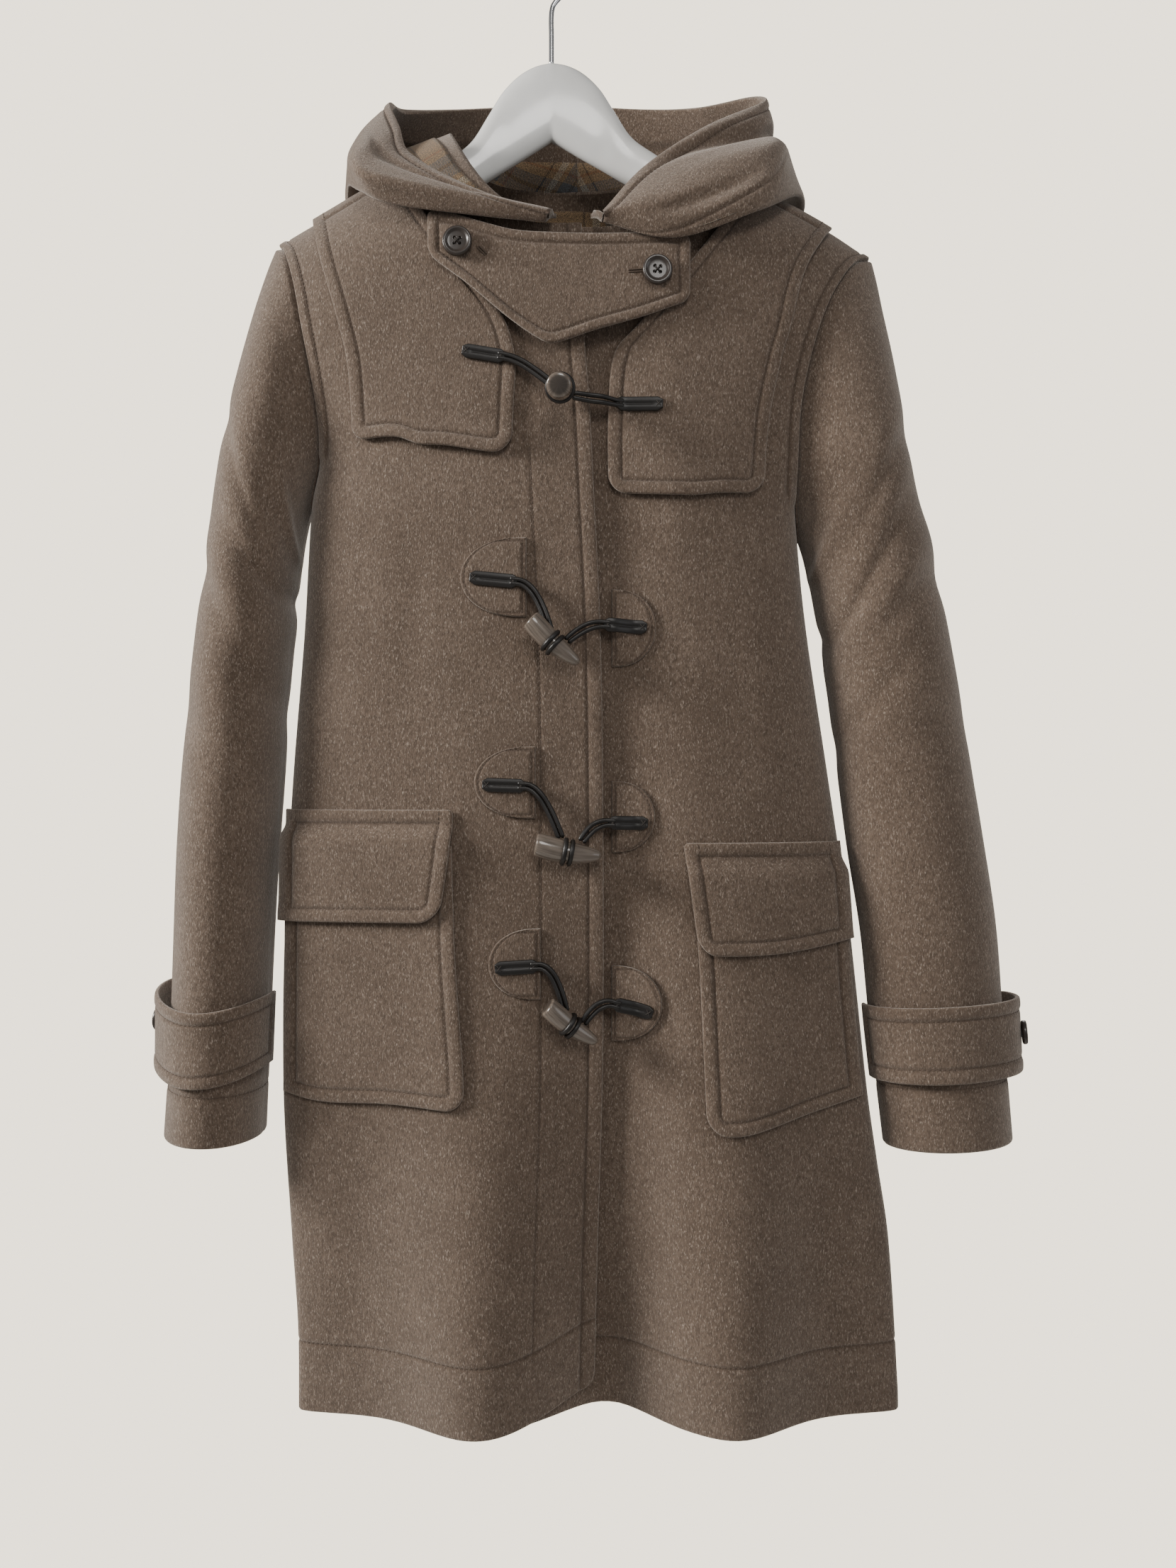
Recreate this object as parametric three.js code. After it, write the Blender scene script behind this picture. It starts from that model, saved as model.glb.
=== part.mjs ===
// Duffle coat hung on a moulded hanger.
// Millimetres, +Z up. The coat's front faces -Y and X runs to the viewer's right.
// The origin is the underside of the hook's top, where a rail or a nail carries the hanger.
import * as THREE from "three";

// Driving sizes of the cloth and leather
const CLOTH = 3;
const LINING = 1.5;
const LEATHER = 2.4;
const SEAM = 0.4;
const ARMHOLE_SEAM = 1.4;
const SHOULDER_ROUND = 100;
const SECTION_POWER = 2.5;
const PIECE_GAP = 0.6;
const SLOPE_STEP = 0.5;

// Driving sizes of the neck and the front
const COAT_CENTRE = 17;
const NECK_HALF = 90;
const NECK_POWER = 4;
const THROAT_Z = -222;
const BACK_NECK_Z = -158;
const HEM_Z = -1055;
const LAP_ROOM = 3;
const CORNER_RISE = 19;
const CORNER_WIDTH = 45;
const LAP_START = 14;
const LAP_RUN = 50;
const ROW_CROWD = 0.9;

// Driving sizes of the hanger
const WIRE = 1.9;
const HOOK_RADIUS = 16;
const HANGER_END = 198;
const TILT = 0.03;
const HANGER_SIDES = 12;
const HANGER_POWER = 0.8;

// Grid steps of each kind of piece: across or round it, then down it
const FRONT_STEPS = [11, 17];
const BACK_STEPS = [18, 17];
const SLEEVE_STEPS = [16, 18];
const HOOD_STEPS = [14, 11];
const YOKE_STEPS = [7, 8];
const TAB_STEPS = [12, 4];
const POCKET_STEPS = [8, 7];
const PATCH_STEPS = [3, 8];
const LEATHER_STEPS = [12, 2];
const STRAP_STEPS = [12, 3];

// Colours and finishes
const WOOL = { color: 0x6f5a4b, roughness: 0.95, metalness: 0 };
const CHECK = { color: 0xb08a5e, roughness: 0.9, metalness: 0 };
const DARK_LEATHER = { color: 0x1f1b19, roughness: 0.5, metalness: 0 };
const HORN = { color: 0x6c6157, roughness: 0.3, metalness: 0 };
const BUTTON = { color: 0x3b332e, roughness: 0.4, metalness: 0 };
const WHITE = { color: 0xe0e2df, roughness: 0.25, metalness: 0 };
const CHROME = { color: 0xb9bcc0, roughness: 0.2, metalness: 1 };

// Tables: one row for each section, with named columns
const table = (names, rows) => rows.map((row) => {
  const cells = names.split(" ").map((name, index) => [name, row[index]]);
  return Object.fromEntries(cells);
});

// Half width of the hanger line and the height of the shoulder ridge above it
const RIDGE = table("x z", [
  [0, -107], [40, -121], [60, -133.5], [72, -141], [100, -157],
  [150, -184], [200, -211], [234, -233], [270, -250],
]);

// Left and right side: armhole edge above the underarm, side seam below it.
// spread widens the section's curve so that the armhole edge stands forward of the seam.
const LEFT_SIDE = table("z x spread", [
  [-200, -199.5, 1.32], [-217, -199.5, 1.3], [-226, -193, 1.28], [-252, -184, 1.22],
  [-287, -177, 1.17], [-321, -171, 1.12], [-355, -167, 1.06], [-380, -168.5, 1.02],
  [-410, -176, 1], [-500, -181, 1], [-609, -189, 1], [-720, -194, 1], [-835, -193, 1],
  [-936, -185, 1], [-1000, -179.5, 1], [-1060, -178, 1],
]);
const RIGHT_SIDE = table("z x spread", [
  [-210, 233.6, 1.32], [-226, 233.6, 1.3], [-233, 223, 1.27], [-244, 213, 1.24],
  [-268, 199, 1.2], [-299, 188, 1.16], [-338, 180, 1.11], [-377, 178, 1.07],
  [-409, 178, 1.02], [-435, 181, 1], [-500, 187.5, 1], [-600, 202, 1], [-700, 216, 1],
  [-758, 222, 1], [-835, 229, 1], [-883, 235, 1], [-936, 242, 1], [-1041, 247, 1],
  [-1060, 247, 1],
]);

// Depth of the body: side seam, front face and back face, and how far the hem's folds have grown
const DEPTH = table("z side front back fold", [
  [-100, 0, 50, 46, 0], [-217, 0, 52, 46, 0], [-410, 0, 52, 48, 0], [-600, -4, 52, 48, 0.05],
  [-750, -12, 52, 48, 0.2], [-900, -24, 50, 47, 0.6], [-1000, -31, 48, 46, 0.88],
  [-1060, -35, 46, 45, 1],
]);

// Upright folds of the skirt: place, half width and height at the hem (forward is positive)
const FRONT_FOLDS = table("x width lift", [
  [-52, 52, 36], [131, 48, 36], [38, 30, -14],
]);
const BACK_FOLDS = table("x width lift", [
  [-120, 34, 12], [-35, 30, -8], [48, 36, 14], [140, 32, -7], [200, 24, 9],
]);

// The lapping front's edge
const FRONT_EDGE = table("z x", [
  [-200, 22], [-300, 24.5], [-345, 28], [-415, 31.5], [-500, 35.5], [-610, 37.5],
  [-806, 37.5], [-940, 34], [-1060, 31.5],
]);

// How far the under front runs on behind the lapping one
const LAP = table("z width", [[-200, 20], [-240, 26], [-300, 60], [-350, 85], [-1060, 85]]);

const clamp = (value) => Math.min(1, Math.max(0, value));
const lerp = (a, b, t) => a + (b - a) * t;
const smooth = (t) => clamp(t) ** 2 * (3 - 2 * clamp(t));

// Reads a column of a table at a key, along a cubic through the rows
function read(rows, key, column, at) {
  const rising = rows[rows.length - 1][key] > rows[0][key] ? 1 : -1;
  const inside = (row) => (row[key] - at) * rising > 0;
  const found = rows.findIndex(inside);
  const high = found < 0 ? rows.length - 1 : Math.max(1, found);
  const low = high - 1;
  const slope = (i) => {
    const before = rows[Math.max(0, i - 1)];
    const after = rows[Math.min(rows.length - 1, i + 1)];
    return (after[column] - before[column]) / (after[key] - before[key]);
  };
  const span = rows[high][key] - rows[low][key];
  const t = clamp((at - rows[low][key]) / span);
  const start = rows[low][column];
  const end = rows[high][column];
  const bend = t * (1 - t) * span;
  return lerp(start, end, t * t * (3 - 2 * t)) + bend * (slope(low) * (1 - t) - slope(high) * t);
}

const ridgeZ = (x) => read(RIDGE, "x", "z", Math.abs(x)) + TILT * x;
const sideX = (side, z) => read(side < 0 ? LEFT_SIDE : RIGHT_SIDE, "z", "x", z);
const spreadAt = (side, z) => read(side < 0 ? LEFT_SIDE : RIGHT_SIDE, "z", "spread", z);
const depthAt = (column, z) => read(DEPTH, "z", column, z);
const edgeX = (z) => read(FRONT_EDGE, "z", "x", z);
const bell = (x, width) => Math.exp(-((x / width) ** 2));
const foldSum = (folds, x) => folds.reduce((sum, f) => sum + f.lift * bell(x - f.x, f.width), 0);

// How full the section is at x: 0 at a side seam, 1 at the middle
function fullness(x, z) {
  const left = sideX(-1, z);
  const right = sideX(1, z);
  const across = (2 * x - left - right) / (right - left);
  const ratio = Math.min(1, Math.abs(across) / spreadAt(Math.sign(across) || 1, z));
  return (1 - ratio ** SECTION_POWER) ** (1 / SECTION_POWER);
}

// Rounding of the shoulder ridge: 0 on the ridge, 1 a full round below it
function roundness(x, z) {
  const below = clamp((ridgeZ(x) - z) / SHOULDER_ROUND);
  return Math.sqrt(1 - (1 - below) ** 2);
}

// Y of the coat's outer face at x and z, on the front (-1) or the back (1)
function faceY(half, x, z) {
  const full = fullness(x, z);
  const side = depthAt("side", z);
  const reach = half < 0 ? -depthAt("front", z) : depthAt("back", z);
  const folds = foldSum(half < 0 ? FRONT_FOLDS : BACK_FOLDS, x) * depthAt("fold", z);
  return lerp(side, reach, full * roundness(x, z)) + half * folds * full ** 2;
}

// Height of the top edge at x: shoulder ridge outside the neck, neckline inside it
function topZ(half, x) {
  const across = (x - COAT_CENTRE) / NECK_HALF;
  if (Math.abs(across) >= 1) return ridgeZ(x);
  const low = half < 0 ? THROAT_Z : BACK_NECK_Z;
  const corner = ridgeZ(COAT_CENTRE + Math.sign(across) * NECK_HALF);
  return lerp(low, corner, Math.abs(across) ** NECK_POWER);
}

// Rows of a panel crowd together at the shoulder and open out towards the hem
const rowShare = (v) => ((1 + ROW_CROWD) * v * v) / (ROW_CROWD + v);

// Hem height at x: the lapping front's corner is drawn up
const lappingHem = (x) => HEM_Z + CORNER_RISE * bell(x - edgeX(HEM_Z), CORNER_WIDTH);

const vec = (x, y, z) => new THREE.Vector3(x, y, z);

// Unit normal of a surface point(u, v), pointing to the side that turn names
function normalOf(point, u, v, turn) {
  const step = 1e-3;
  const u0 = Math.max(0, u - step);
  const u1 = Math.min(1, u + step);
  const v0 = Math.max(0, v - step);
  const v1 = Math.min(1, v + step);
  const across = point(u1, v).sub(point(u0, v));
  const down = point(u, v1).sub(point(u, v0));
  return across.cross(down).multiplyScalar(turn).normalize();
}

function meshOf(name, finish, points, faces) {
  const geometry = new THREE.BufferGeometry();
  const flat = points.flatMap((p) => [p.x, p.y, p.z]);
  geometry.setAttribute("position", new THREE.Float32BufferAttribute(flat, 3));
  geometry.setIndex(faces.flat());
  geometry.computeVertexNormals();
  const mesh = new THREE.Mesh(geometry, new THREE.MeshStandardMaterial(finish));
  mesh.name = name;
  return mesh;
}

// A wall from two layers of the same grid: outer points, then inner points.
// round joins the last column to the first, as on a tube.
function wall(name, finish, outer, inner, round = false) {
  const columns = outer.length;
  const rows = outer[0].length;
  const points = [...outer.flat(), ...inner.flat()];
  const layer = columns * rows;
  const at = (i, j) => (i % columns) * rows + j;
  const faces = [];
  const quad = (a, b, c, d) => faces.push([a, b, c], [a, c, d]);
  const last = round ? columns : columns - 1;
  for (let i = 0; i < last; i += 1) {
    for (let j = 0; j < rows - 1; j += 1) {
      quad(at(i, j), at(i + 1, j), at(i + 1, j + 1), at(i, j + 1));
      quad(layer + at(i, j), layer + at(i, j + 1), layer + at(i + 1, j + 1), layer + at(i + 1, j));
    }
    quad(at(i + 1, 0), at(i, 0), layer + at(i, 0), layer + at(i + 1, 0));
    quad(at(i, rows - 1), at(i + 1, rows - 1), layer + at(i + 1, rows - 1), layer + at(i, rows - 1));
  }
  if (!round) {
    for (let j = 0; j < rows - 1; j += 1) {
      quad(at(0, j), at(0, j + 1), layer + at(0, j + 1), layer + at(0, j));
      const end = columns - 1;
      quad(at(end, j + 1), at(end, j), layer + at(end, j), layer + at(end, j + 1));
    }
  }
  if (signedVolume(points, faces) < 0) faces.forEach((face) => face.reverse());
  return meshOf(name, finish, points, faces);
}

function signedVolume(points, faces) {
  return faces.reduce((sum, [a, b, c]) => {
    return sum + points[a].dot(points[b].clone().cross(points[c]));
  }, 0);
}

// A sheet of cloth: point(u, v) is its outer face, and the inner face lies a thickness behind it
// settle(moved, point) may hold a moved point back from a seam.
function sheet(name, finish, point, steps, layers, turn, round = false, settle = null) {
  const columns = round ? steps[0] : steps[0] + 1;
  const layerAt = (offset) => Array.from({ length: columns }, (_, i) => {
    return Array.from({ length: steps[1] + 1 }, (_, j) => {
      const u = i / steps[0];
      const v = j / steps[1];
      const moved = point(u, v).addScaledVector(normalOf(point, u, v, turn), offset);
      return settle ? settle(moved, point(u, v), v) : moved;
    });
  });
  return wall(name, finish, layerAt(layers[1]), layerAt(layers[0]), round);
}

const coat = new THREE.Group();

// Body panels. A panel runs from its side seam and armhole (u = 0) to its other edge (u = 1),
// and from the shoulder and neckline (v = 0) to the hem (v = 1).
const ease = (u) => 1 - Math.cos((u * Math.PI) / 2);
const easeBoth = (u) => (1 - Math.cos(u * Math.PI)) / 2;

// The under front lies a cloth behind the lapping front and comes level beyond its edge
const lapDepth = (z) => CLOTH + LAP_ROOM * (1 + depthAt("fold", z));
const underLap = (x, z) => lapDepth(z) * (1 - smooth((x - edgeX(z) - LAP_START) / LAP_RUN));

function bodyPoint(half, xStart, xEnd, share, v, hem = () => HEM_Z) {
  const topX = lerp(xStart(0), xEnd(0), share);
  const top = topZ(half, topX);
  const z = lerp(top, hem(topX), rowShare(v));
  const x = lerp(xStart(z), xEnd(z), share);
  return vec(x, faceY(half, x, z) + half * SEAM * 0.5, z);
}

const leftFront = (u, v) => bodyPoint(-1, (z) => sideX(-1, z), edgeX, ease(u), v, lappingHem);
const underEdge = (z) => edgeX(z) - read(LAP, "z", "width", z);

function rightFront(u, v) {
  const point = bodyPoint(-1, (z) => sideX(1, z), underEdge, ease(u), v);
  point.y += underLap(point.x, point.z);
  return point;
}

const backPoint = (u, v) => bodyPoint(1, (z) => sideX(-1, z), (z) => sideX(1, z), easeBoth(u), v);

// Keeps a panel's inner layer on its own side of the side seam and the shoulder seam
const SEAM_REACH = 24;
const RIDGE_REACH = 12;
const keepHalf = (half) => (moved) => {
  const { x, y, z } = moved;
  const seam = depthAt("side", z) + half * SEAM * 0.5;
  const nearSide = x < sideX(-1, z) + SEAM_REACH || x > sideX(1, z) - SEAM_REACH;
  if (nearSide || ridgeZ(x) - z < RIDGE_REACH) {
    moved.y = half < 0 ? Math.min(y, seam) : Math.max(y, seam);
  }
  return moved;
};

const INWARD = [-CLOTH, 0];
coat.add(sheet("front_left_panel", WOOL, leftFront, FRONT_STEPS, INWARD, -1, false, keepHalf(-1)));
coat.add(sheet("front_right_panel", WOOL, rightFront, FRONT_STEPS, INWARD, 1, false, keepHalf(-1)));
coat.add(sheet("back_panel", WOOL, backPoint, BACK_STEPS, INWARD, 1, false, keepHalf(1)));

// Sleeves. Each ring is given by its outer and inner end, its middle and half depth,
// and how much of the armhole's own curve it keeps.
const LEFT_SLEEVE = table("along outX outZ inX inZ midY halfY keep", [
  [0, -199.5, -217, -176, -410, 0, 42, 1], [1, -207, -236, -179.5, -421, 0, 44, 0.85],
  [2, -215, -262, -181.5, -432, -1, 46, 0.5], [3, -225, -300, -183.5, -446, -2, 47, 0.2],
  [4, -235, -345, -185.5, -464, -3, 47, 0], [5, -243, -395, -187.5, -488, -4, 47, 0],
  [6, -249.5, -446, -190, -520, -5, 47, 0], [7, -256.5, -505, -192.5, -560, -7, 47, 0],
  [8, -263, -570, -195, -610, -9, 47, 0], [9, -268, -650, -199, -672, -11, 46, 0],
  [10, -270, -725, -202, -735, -13, 46, 0], [11, -272, -795, -204.5, -800, -14, 46, 0],
  [12, -276, -862, -207, -865, -15, 46, 0],
]);
const RIGHT_SLEEVE = table("along outX outZ inX inZ midY halfY keep", [
  [0, 233.6, -226, 181, -435, 0, 42, 1], [1, 238, -244, 184.5, -445, 0, 44, 0.85],
  [2, 242, -265, 187, -455, -1, 45, 0.5], [3, 249.5, -302, 190, -468, -2, 46, 0.2],
  [4, 257, -346, 193, -485, -3, 46, 0], [5, 266, -400, 197, -508, -4, 45, 0],
  [6, 278, -442, 201, -538, -5, 43, 0], [7, 288, -500, 205, -575, -8, 41, 0],
  [8, 299, -565, 209.5, -615, -10, 39, 0], [9, 310, -640, 215, -662, -13, 37, 0],
  [10, 320, -712, 223.5, -720, -16, 35, 0], [11, 325, -785, 230, -790, -18, 33, 0],
  [12, 331, -867, 239, -871, -20, 32, 0],
]);

function sleevePoint(rows, side, u, v) {
  const last = rows.length - 1;
  const value = (column) => read(rows, "along", column, v * last);
  const turn = u * 2 * Math.PI;
  const share = (1 + Math.cos(turn)) / 2;
  const ring = vec(
    lerp(value("inX"), value("outX"), share),
    value("midY") - value("halfY") * Math.sin(turn),
    lerp(value("inZ"), value("outZ"), share),
  );
  const z = lerp(rows[0].inZ, rows[0].outZ, share);
  const half = Math.sin(turn) >= 0 ? -1 : 1;
  const straight = lerp(rows[0].inX, rows[0].outX, share);
  const plain = -rows[0].halfY * Math.sin(turn);
  const armholeX = sideX(side, z);
  ring.x += (armholeX - straight) * value("keep") + side * ARMHOLE_SEAM;
  ring.y += (faceY(half, armholeX, z) - plain) * value("keep");
  return ring;
}

const leftSleeve = (u, v) => sleevePoint(LEFT_SLEEVE, -1, u, v);
const rightSleeve = (u, v) => sleevePoint(RIGHT_SLEEVE, 1, u, v);

// Keeps the sleeve head's inner layer out of the armhole
const keepHead = (moved, point, v) => (v > 0 ? moved : moved.setX(point.x));

coat.add(sheet("sleeve_left", WOOL, leftSleeve, SLEEVE_STEPS, INWARD, -1, true, keepHead));
coat.add(sheet("sleeve_right", WOOL, rightSleeve, SLEEVE_STEPS, INWARD, 1, true, keepHead));

// A point on the coat's outer face, moved out along the face's normal
function onFace(half, x, z, lift, sink = 0) {
  const step = SLOPE_STEP;
  const slopeX = (faceY(half, x + step, z) - faceY(half, x - step, z)) / (2 * step);
  const slopeZ = (faceY(half, x, z + step) - faceY(half, x, z - step)) / (2 * step);
  const normal = vec(-half * slopeX, half, -half * slopeZ).normalize();
  const point = vec(x, faceY(half, x, z) + half * SEAM * 0.5 - half * sink, z);
  return point.addScaledVector(normal, lift);
}

// The sunk strip of the under front beside the lapping edge
const EDGE_CLEAR = 1;
const frontSink = (x, z) => (x > edgeX(z) + EDGE_CLEAR ? underLap(x, z) : 0);

// A flat piece on the front, of a thickness: outline(u, v) gives x, z and its lift
function onFront(name, finish, outline, steps, thickness, sink = frontSink) {
  const layerAt = (extra) => Array.from({ length: steps[0] + 1 }, (_, i) => {
    return Array.from({ length: steps[1] + 1 }, (_, j) => {
      const { x, z, lift } = outline(i / steps[0], j / steps[1]);
      return onFace(-1, x, z, lift + extra, sink(x, z));
    });
  });
  return wall(name, finish, layerAt(thickness), layerAt(0));
}

// Outline read from rows of height, left edge, right edge and lift, from the top down
function byRows(rows, top = null, crowd = (u) => u) {
  return (u, v) => {
    const first = rows[0].z;
    const last = rows[rows.length - 1].z;
    const at = lerp(first, last, v);
    const x = lerp(read(rows, "z", "left", at), read(rows, "z", "right", at), crowd(u));
    const z = top ? lerp(top(x), last, v) : at;
    return { x, z, lift: read(rows, "z", "lift", at) };
  };
}

// Outline read from columns of x, top and bottom
function byColumns(rows, lift) {
  return (u, v) => {
    const x = lerp(rows[0].x, rows[rows.length - 1].x, u);
    return { x, z: lerp(read(rows, "x", "top", x), read(rows, "x", "bottom", x), v), lift };
  };
}

// Yoke flaps, from the shoulder and neckline to their lower edge on the chest
const ON_PANEL = 1;
const ON_YOKE = ON_PANEL + CLOTH + PIECE_GAP;
const YOKE_DROP = 9;
const YOKE_LEFT = table("z left right lift", [
  [-200, -172, -96, 2.2], [-246, -160, -64, 2.4], [-280, -150, -36, 1], [-313, -142, -24, 1],
  [-349, -139, -24.5, 1], [-362, -136, -26, 1.2], [-371, -129, -30, 1.6], [-377, -112, -40, 2],
]);
const YOKE_RIGHT = table("z left right lift", [
  [-205, 132, 208, 2.2], [-246, 101, 181, 3], [-292, 62, 168.5, 1], [-310, 46, 163, 1],
  [-355, 41, 154, 1], [-388, 41, 151.5, 1.2], [-401, 44, 147, 1.6], [-409, 58, 134, 2],
]);
const underNeck = (x) => topZ(-1, x) - YOKE_DROP;
coat.add(onFront("yoke_left", WOOL, byRows(YOKE_LEFT, underNeck), YOKE_STEPS, CLOTH));
coat.add(onFront("yoke_right", WOOL, byRows(YOKE_RIGHT, underNeck), YOKE_STEPS, CLOTH));

// Throat tab across both yokes, with a button at each end
const TAB = table("x top bottom", [
  [-83, -222, -245], [-76, -220, -253], [-54.8, -224, -268], [-26.6, -233, -291.8],
  [-4, -236, -308], [4, -236.5, -309], [31.6, -237, -299.5], [64, -238, -290],
  [86, -241, -281], [97, -258, -277],
]);
const TAB_ROOM = 1.6;
const TAB_LIFT = ON_YOKE + TAB_ROOM;
coat.add(onFront("throat_tab", WOOL, byColumns(TAB, TAB_LIFT), TAB_STEPS, CLOTH, () => 0));

const BUTTON_RADIUS = 10.3;
const CUFF_BUTTON_RADIUS = 8.5;
const BUTTON_SIDES = 14;
const BUTTON_PROFILE = table("radius height", [
  [0, 0], [0.86, 0], [1, 1.4], [1, 3], [0.88, 4.2], [0.74, 4.2], [0.62, 3.2], [0, 3.2],
]);

// A round button whose back rests at a point and whose face looks along a direction
function button(name, place, direction, radius = BUTTON_RADIUS) {
  const outline = BUTTON_PROFILE.map((row) => new THREE.Vector2(row.radius * radius, row.height));
  const mesh = new THREE.Mesh(
    new THREE.LatheGeometry(outline, BUTTON_SIDES),
    new THREE.MeshStandardMaterial(BUTTON),
  );
  mesh.name = name;
  mesh.position.copy(place);
  mesh.quaternion.setFromUnitVectors(vec(0, 1, 0), direction.clone().normalize());
  return mesh;
}

function frontButton(name, x, z, lift) {
  const foot = onFace(-1, x, z, lift);
  return button(name, foot, onFace(-1, x, z, lift + 1).sub(foot));
}
const tabFace = TAB_LIFT + CLOTH + PIECE_GAP;
coat.add(frontButton("throat_button_left", -62.8, -241, tabFace));
coat.add(frontButton("throat_button_right", 74.4, -260.4, tabFace));

// Patch pockets and their flaps
const POCKET_LEFT = table("z left right lift", [
  [-655, -188, -67, 1], [-731, -188, -64.3, 1], [-810, -188, -58.3, 1], [-828, -186, -61, 1],
  [-838, -176, -70, 1],
]);
const FLAP_LEFT = table("z left right lift", [
  [-630, -188, -66, 1], [-640, -188, -66.5, 1.2], [-652, -188.5, -67, 5.6],
  [-692, -189, -72, 5.6], [-703, -188, -78, 6], [-709.5, -182, -88, 6.4],
]);
const POCKET_RIGHT = table("z left right lift", [
  [-680, 100, 210, 1], [-745, 104.3, 213, 1], [-805, 107, 218, 1.4], [-838, 108.5, 220, 2.4],
  [-849, 113, 216, 2.8], [-854, 124, 205, 3],
]);
const FLAP_RIGHT = table("z left right lift", [
  [-653, 93, 206, 1], [-663, 94, 207, 1.2], [-677, 96.5, 208, 5.6], [-718, 102, 211, 5.6],
  [-727, 107, 210, 6], [-732, 117, 204, 6.4],
]);
// Their columns crowd towards the side seam, where the body turns away
const crowdLeft = (u) => u ** 2;
const crowdRight = (u) => 1 - (1 - u) ** 2;
const POCKETS = [
  ["pocket_left", POCKET_LEFT, crowdLeft], ["pocket_flap_left", FLAP_LEFT, crowdLeft],
  ["pocket_right", POCKET_RIGHT, crowdRight], ["pocket_flap_right", FLAP_RIGHT, crowdRight],
];
POCKETS.forEach(([name, rows, crowd]) => {
  coat.add(onFront(name, WOOL, byRows(rows, null, crowd), POCKET_STEPS, CLOTH));
});

// Half-round patches under the leather: straight side towards the front edge
const PATCH = 2.4;
const PATCH_TURN = 0.47;
const PATCH_POWER = 0.8;
const PATCHES = table("name straight round top bottom lift", [
  ["left_2", -15.8, -61.7, -441, -496, 1], ["left_3", -9.4, -51.9, -586, -636, 1],
  ["left_4", -6, -41.7, -712, -761, 1], ["right_2", 43.5, 74.2, -476, -530, 1],
  ["right_3", 43.5, 73.7, -610, -660, 1], ["right_4", 43.5, 78.6, -739, -792, 2.2],
]);

function halfRound(patch) {
  const middle = (patch.top + patch.bottom) / 2;
  const radius = (patch.top - patch.bottom) / 2;
  return (u, v) => {
    const turn = lerp(-PATCH_TURN, PATCH_TURN, v) * Math.PI;
    const reach = Math.cos(turn) ** PATCH_POWER;
    return {
      x: lerp(patch.straight, lerp(patch.straight, patch.round, reach), u),
      z: middle - radius * Math.sin(turn),
      lift: patch.lift,
    };
  };
}
PATCHES.forEach((patch) => {
  coat.add(onFront(`patch_${patch.name}`, WOOL, halfRound(patch), PATCH_STEPS, PATCH));
});

// Leather tabs and their thongs, one on each side of every toggle.
// start is the tab's outer end, join is where the thong leaves it, and end is under the horn.
const TAB_WIDTH = 9.7;
const THONG_WIDTH = 6;
const THONG_LEAD = 0.4;
const CHAMFER = 0.55;
const TAB_SHARE = 0.46;
const NARROWING = 0.1;
const ON_PATCH = ON_PANEL + PATCH + PIECE_GAP;
const ON_LIFTED_PATCH = ON_PATCH + 1.2;
const LEATHERS = table("name startX startZ joinX joinZ endX endZ lift", [
  ["left_1", -59.8, -311.9, -30, -317.2, 5, -340, ON_YOKE],
  ["left_2", -54.9, -468.8, -21.6, -472.2, 1, -508, ON_PATCH],
  ["left_3", -46.1, -612.5, -16.3, -613.5, 8, -650, ON_PATCH],
  ["left_4", -37.3, -739.1, -7.9, -737.6, 10, -769, ON_PATCH],
  ["right_1", 78.6, -348.5, 46.3, -347.6, 16, -345, ON_YOKE],
  ["right_2", 67.8, -503, 37.5, -501.5, 12, -514, ON_PATCH],
  ["right_3", 68.8, -639.4, 41, -638.8, 22, -652, ON_PATCH],
  ["right_4", 72.7, -771.8, 44.8, -764, 22, -777, ON_LIFTED_PATCH],
]);

// The thong leaves the tab level and turns towards the horn
function leatherPath(row) {
  const start = vec(row.startX, 0, row.startZ);
  const join = vec(row.joinX, 0, row.joinZ);
  const end = vec(row.endX, 0, row.endZ);
  const lead = join.clone().sub(start).multiplyScalar(THONG_LEAD).add(join);
  return (u) => {
    if (u < 0.5) return start.clone().lerp(join, u * 2);
    const t = u * 2 - 1;
    return join.clone().lerp(lead, t).lerp(lead.clone().lerp(end, t), t);
  };
}

function leatherOutline(row) {
  const path = leatherPath(row);
  return (u, v) => {
    const at = path(u);
    const step = 0.02;
    const ahead = path(Math.min(1, u + step)).sub(path(Math.max(0, u - step))).normalize();
    const chamfer = u === 0 ? CHAMFER : 1;
    const narrowing = smooth((u - TAB_SHARE) / NARROWING);
    const half = lerp(TAB_WIDTH * chamfer, THONG_WIDTH, narrowing) / 2;
    const side = half * (2 * v - 1);
    return { x: at.x - ahead.z * side, z: at.z + ahead.x * side, lift: row.lift };
  };
}

// Where a strap leaves the under front it rises on to the lapping one
const STRAP_START = 8;
const STRAP_RUN = 18;
const strapSink = (x, z) => underLap(x, z) * smooth((x - edgeX(z) - STRAP_START) / STRAP_RUN);
LEATHERS.forEach((row) => {
  const name = `leather_${row.name}`;
  coat.add(onFront(name, DARK_LEATHER, leatherOutline(row), LEATHER_STEPS, LEATHER, strapSink));
});

// Horn toggles: butt and tip on the front, how far each stands off it, and the largest radius
const TOGGLES = table("name buttX buttZ buttLift tipX tipZ tipLift radius", [
  ["toggle_1", 8, -352, 52, 9, -338, 7.5, 8.6],
  ["toggle_2", -12.8, -499, 14.7, 20.4, -529.9, 13.6, 7.7],
  ["toggle_3", -10.4, -653, 12.7, 36, -661.4, 11.7, 8.3],
  ["toggle_4", -3.5, -763, 14, 32.1, -789, 13.2, 7.3],
]);
const HORN_PROFILE = table("along radius", [
  [0, 0.82], [0.04, 0.94], [0.15, 1], [0.4, 0.97], [0.65, 0.84], [0.85, 0.6], [0.95, 0.42],
  [1, 0.24],
]);
const HORN_BOW = 1.6;
const HORN_SIDES = 10;

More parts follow.
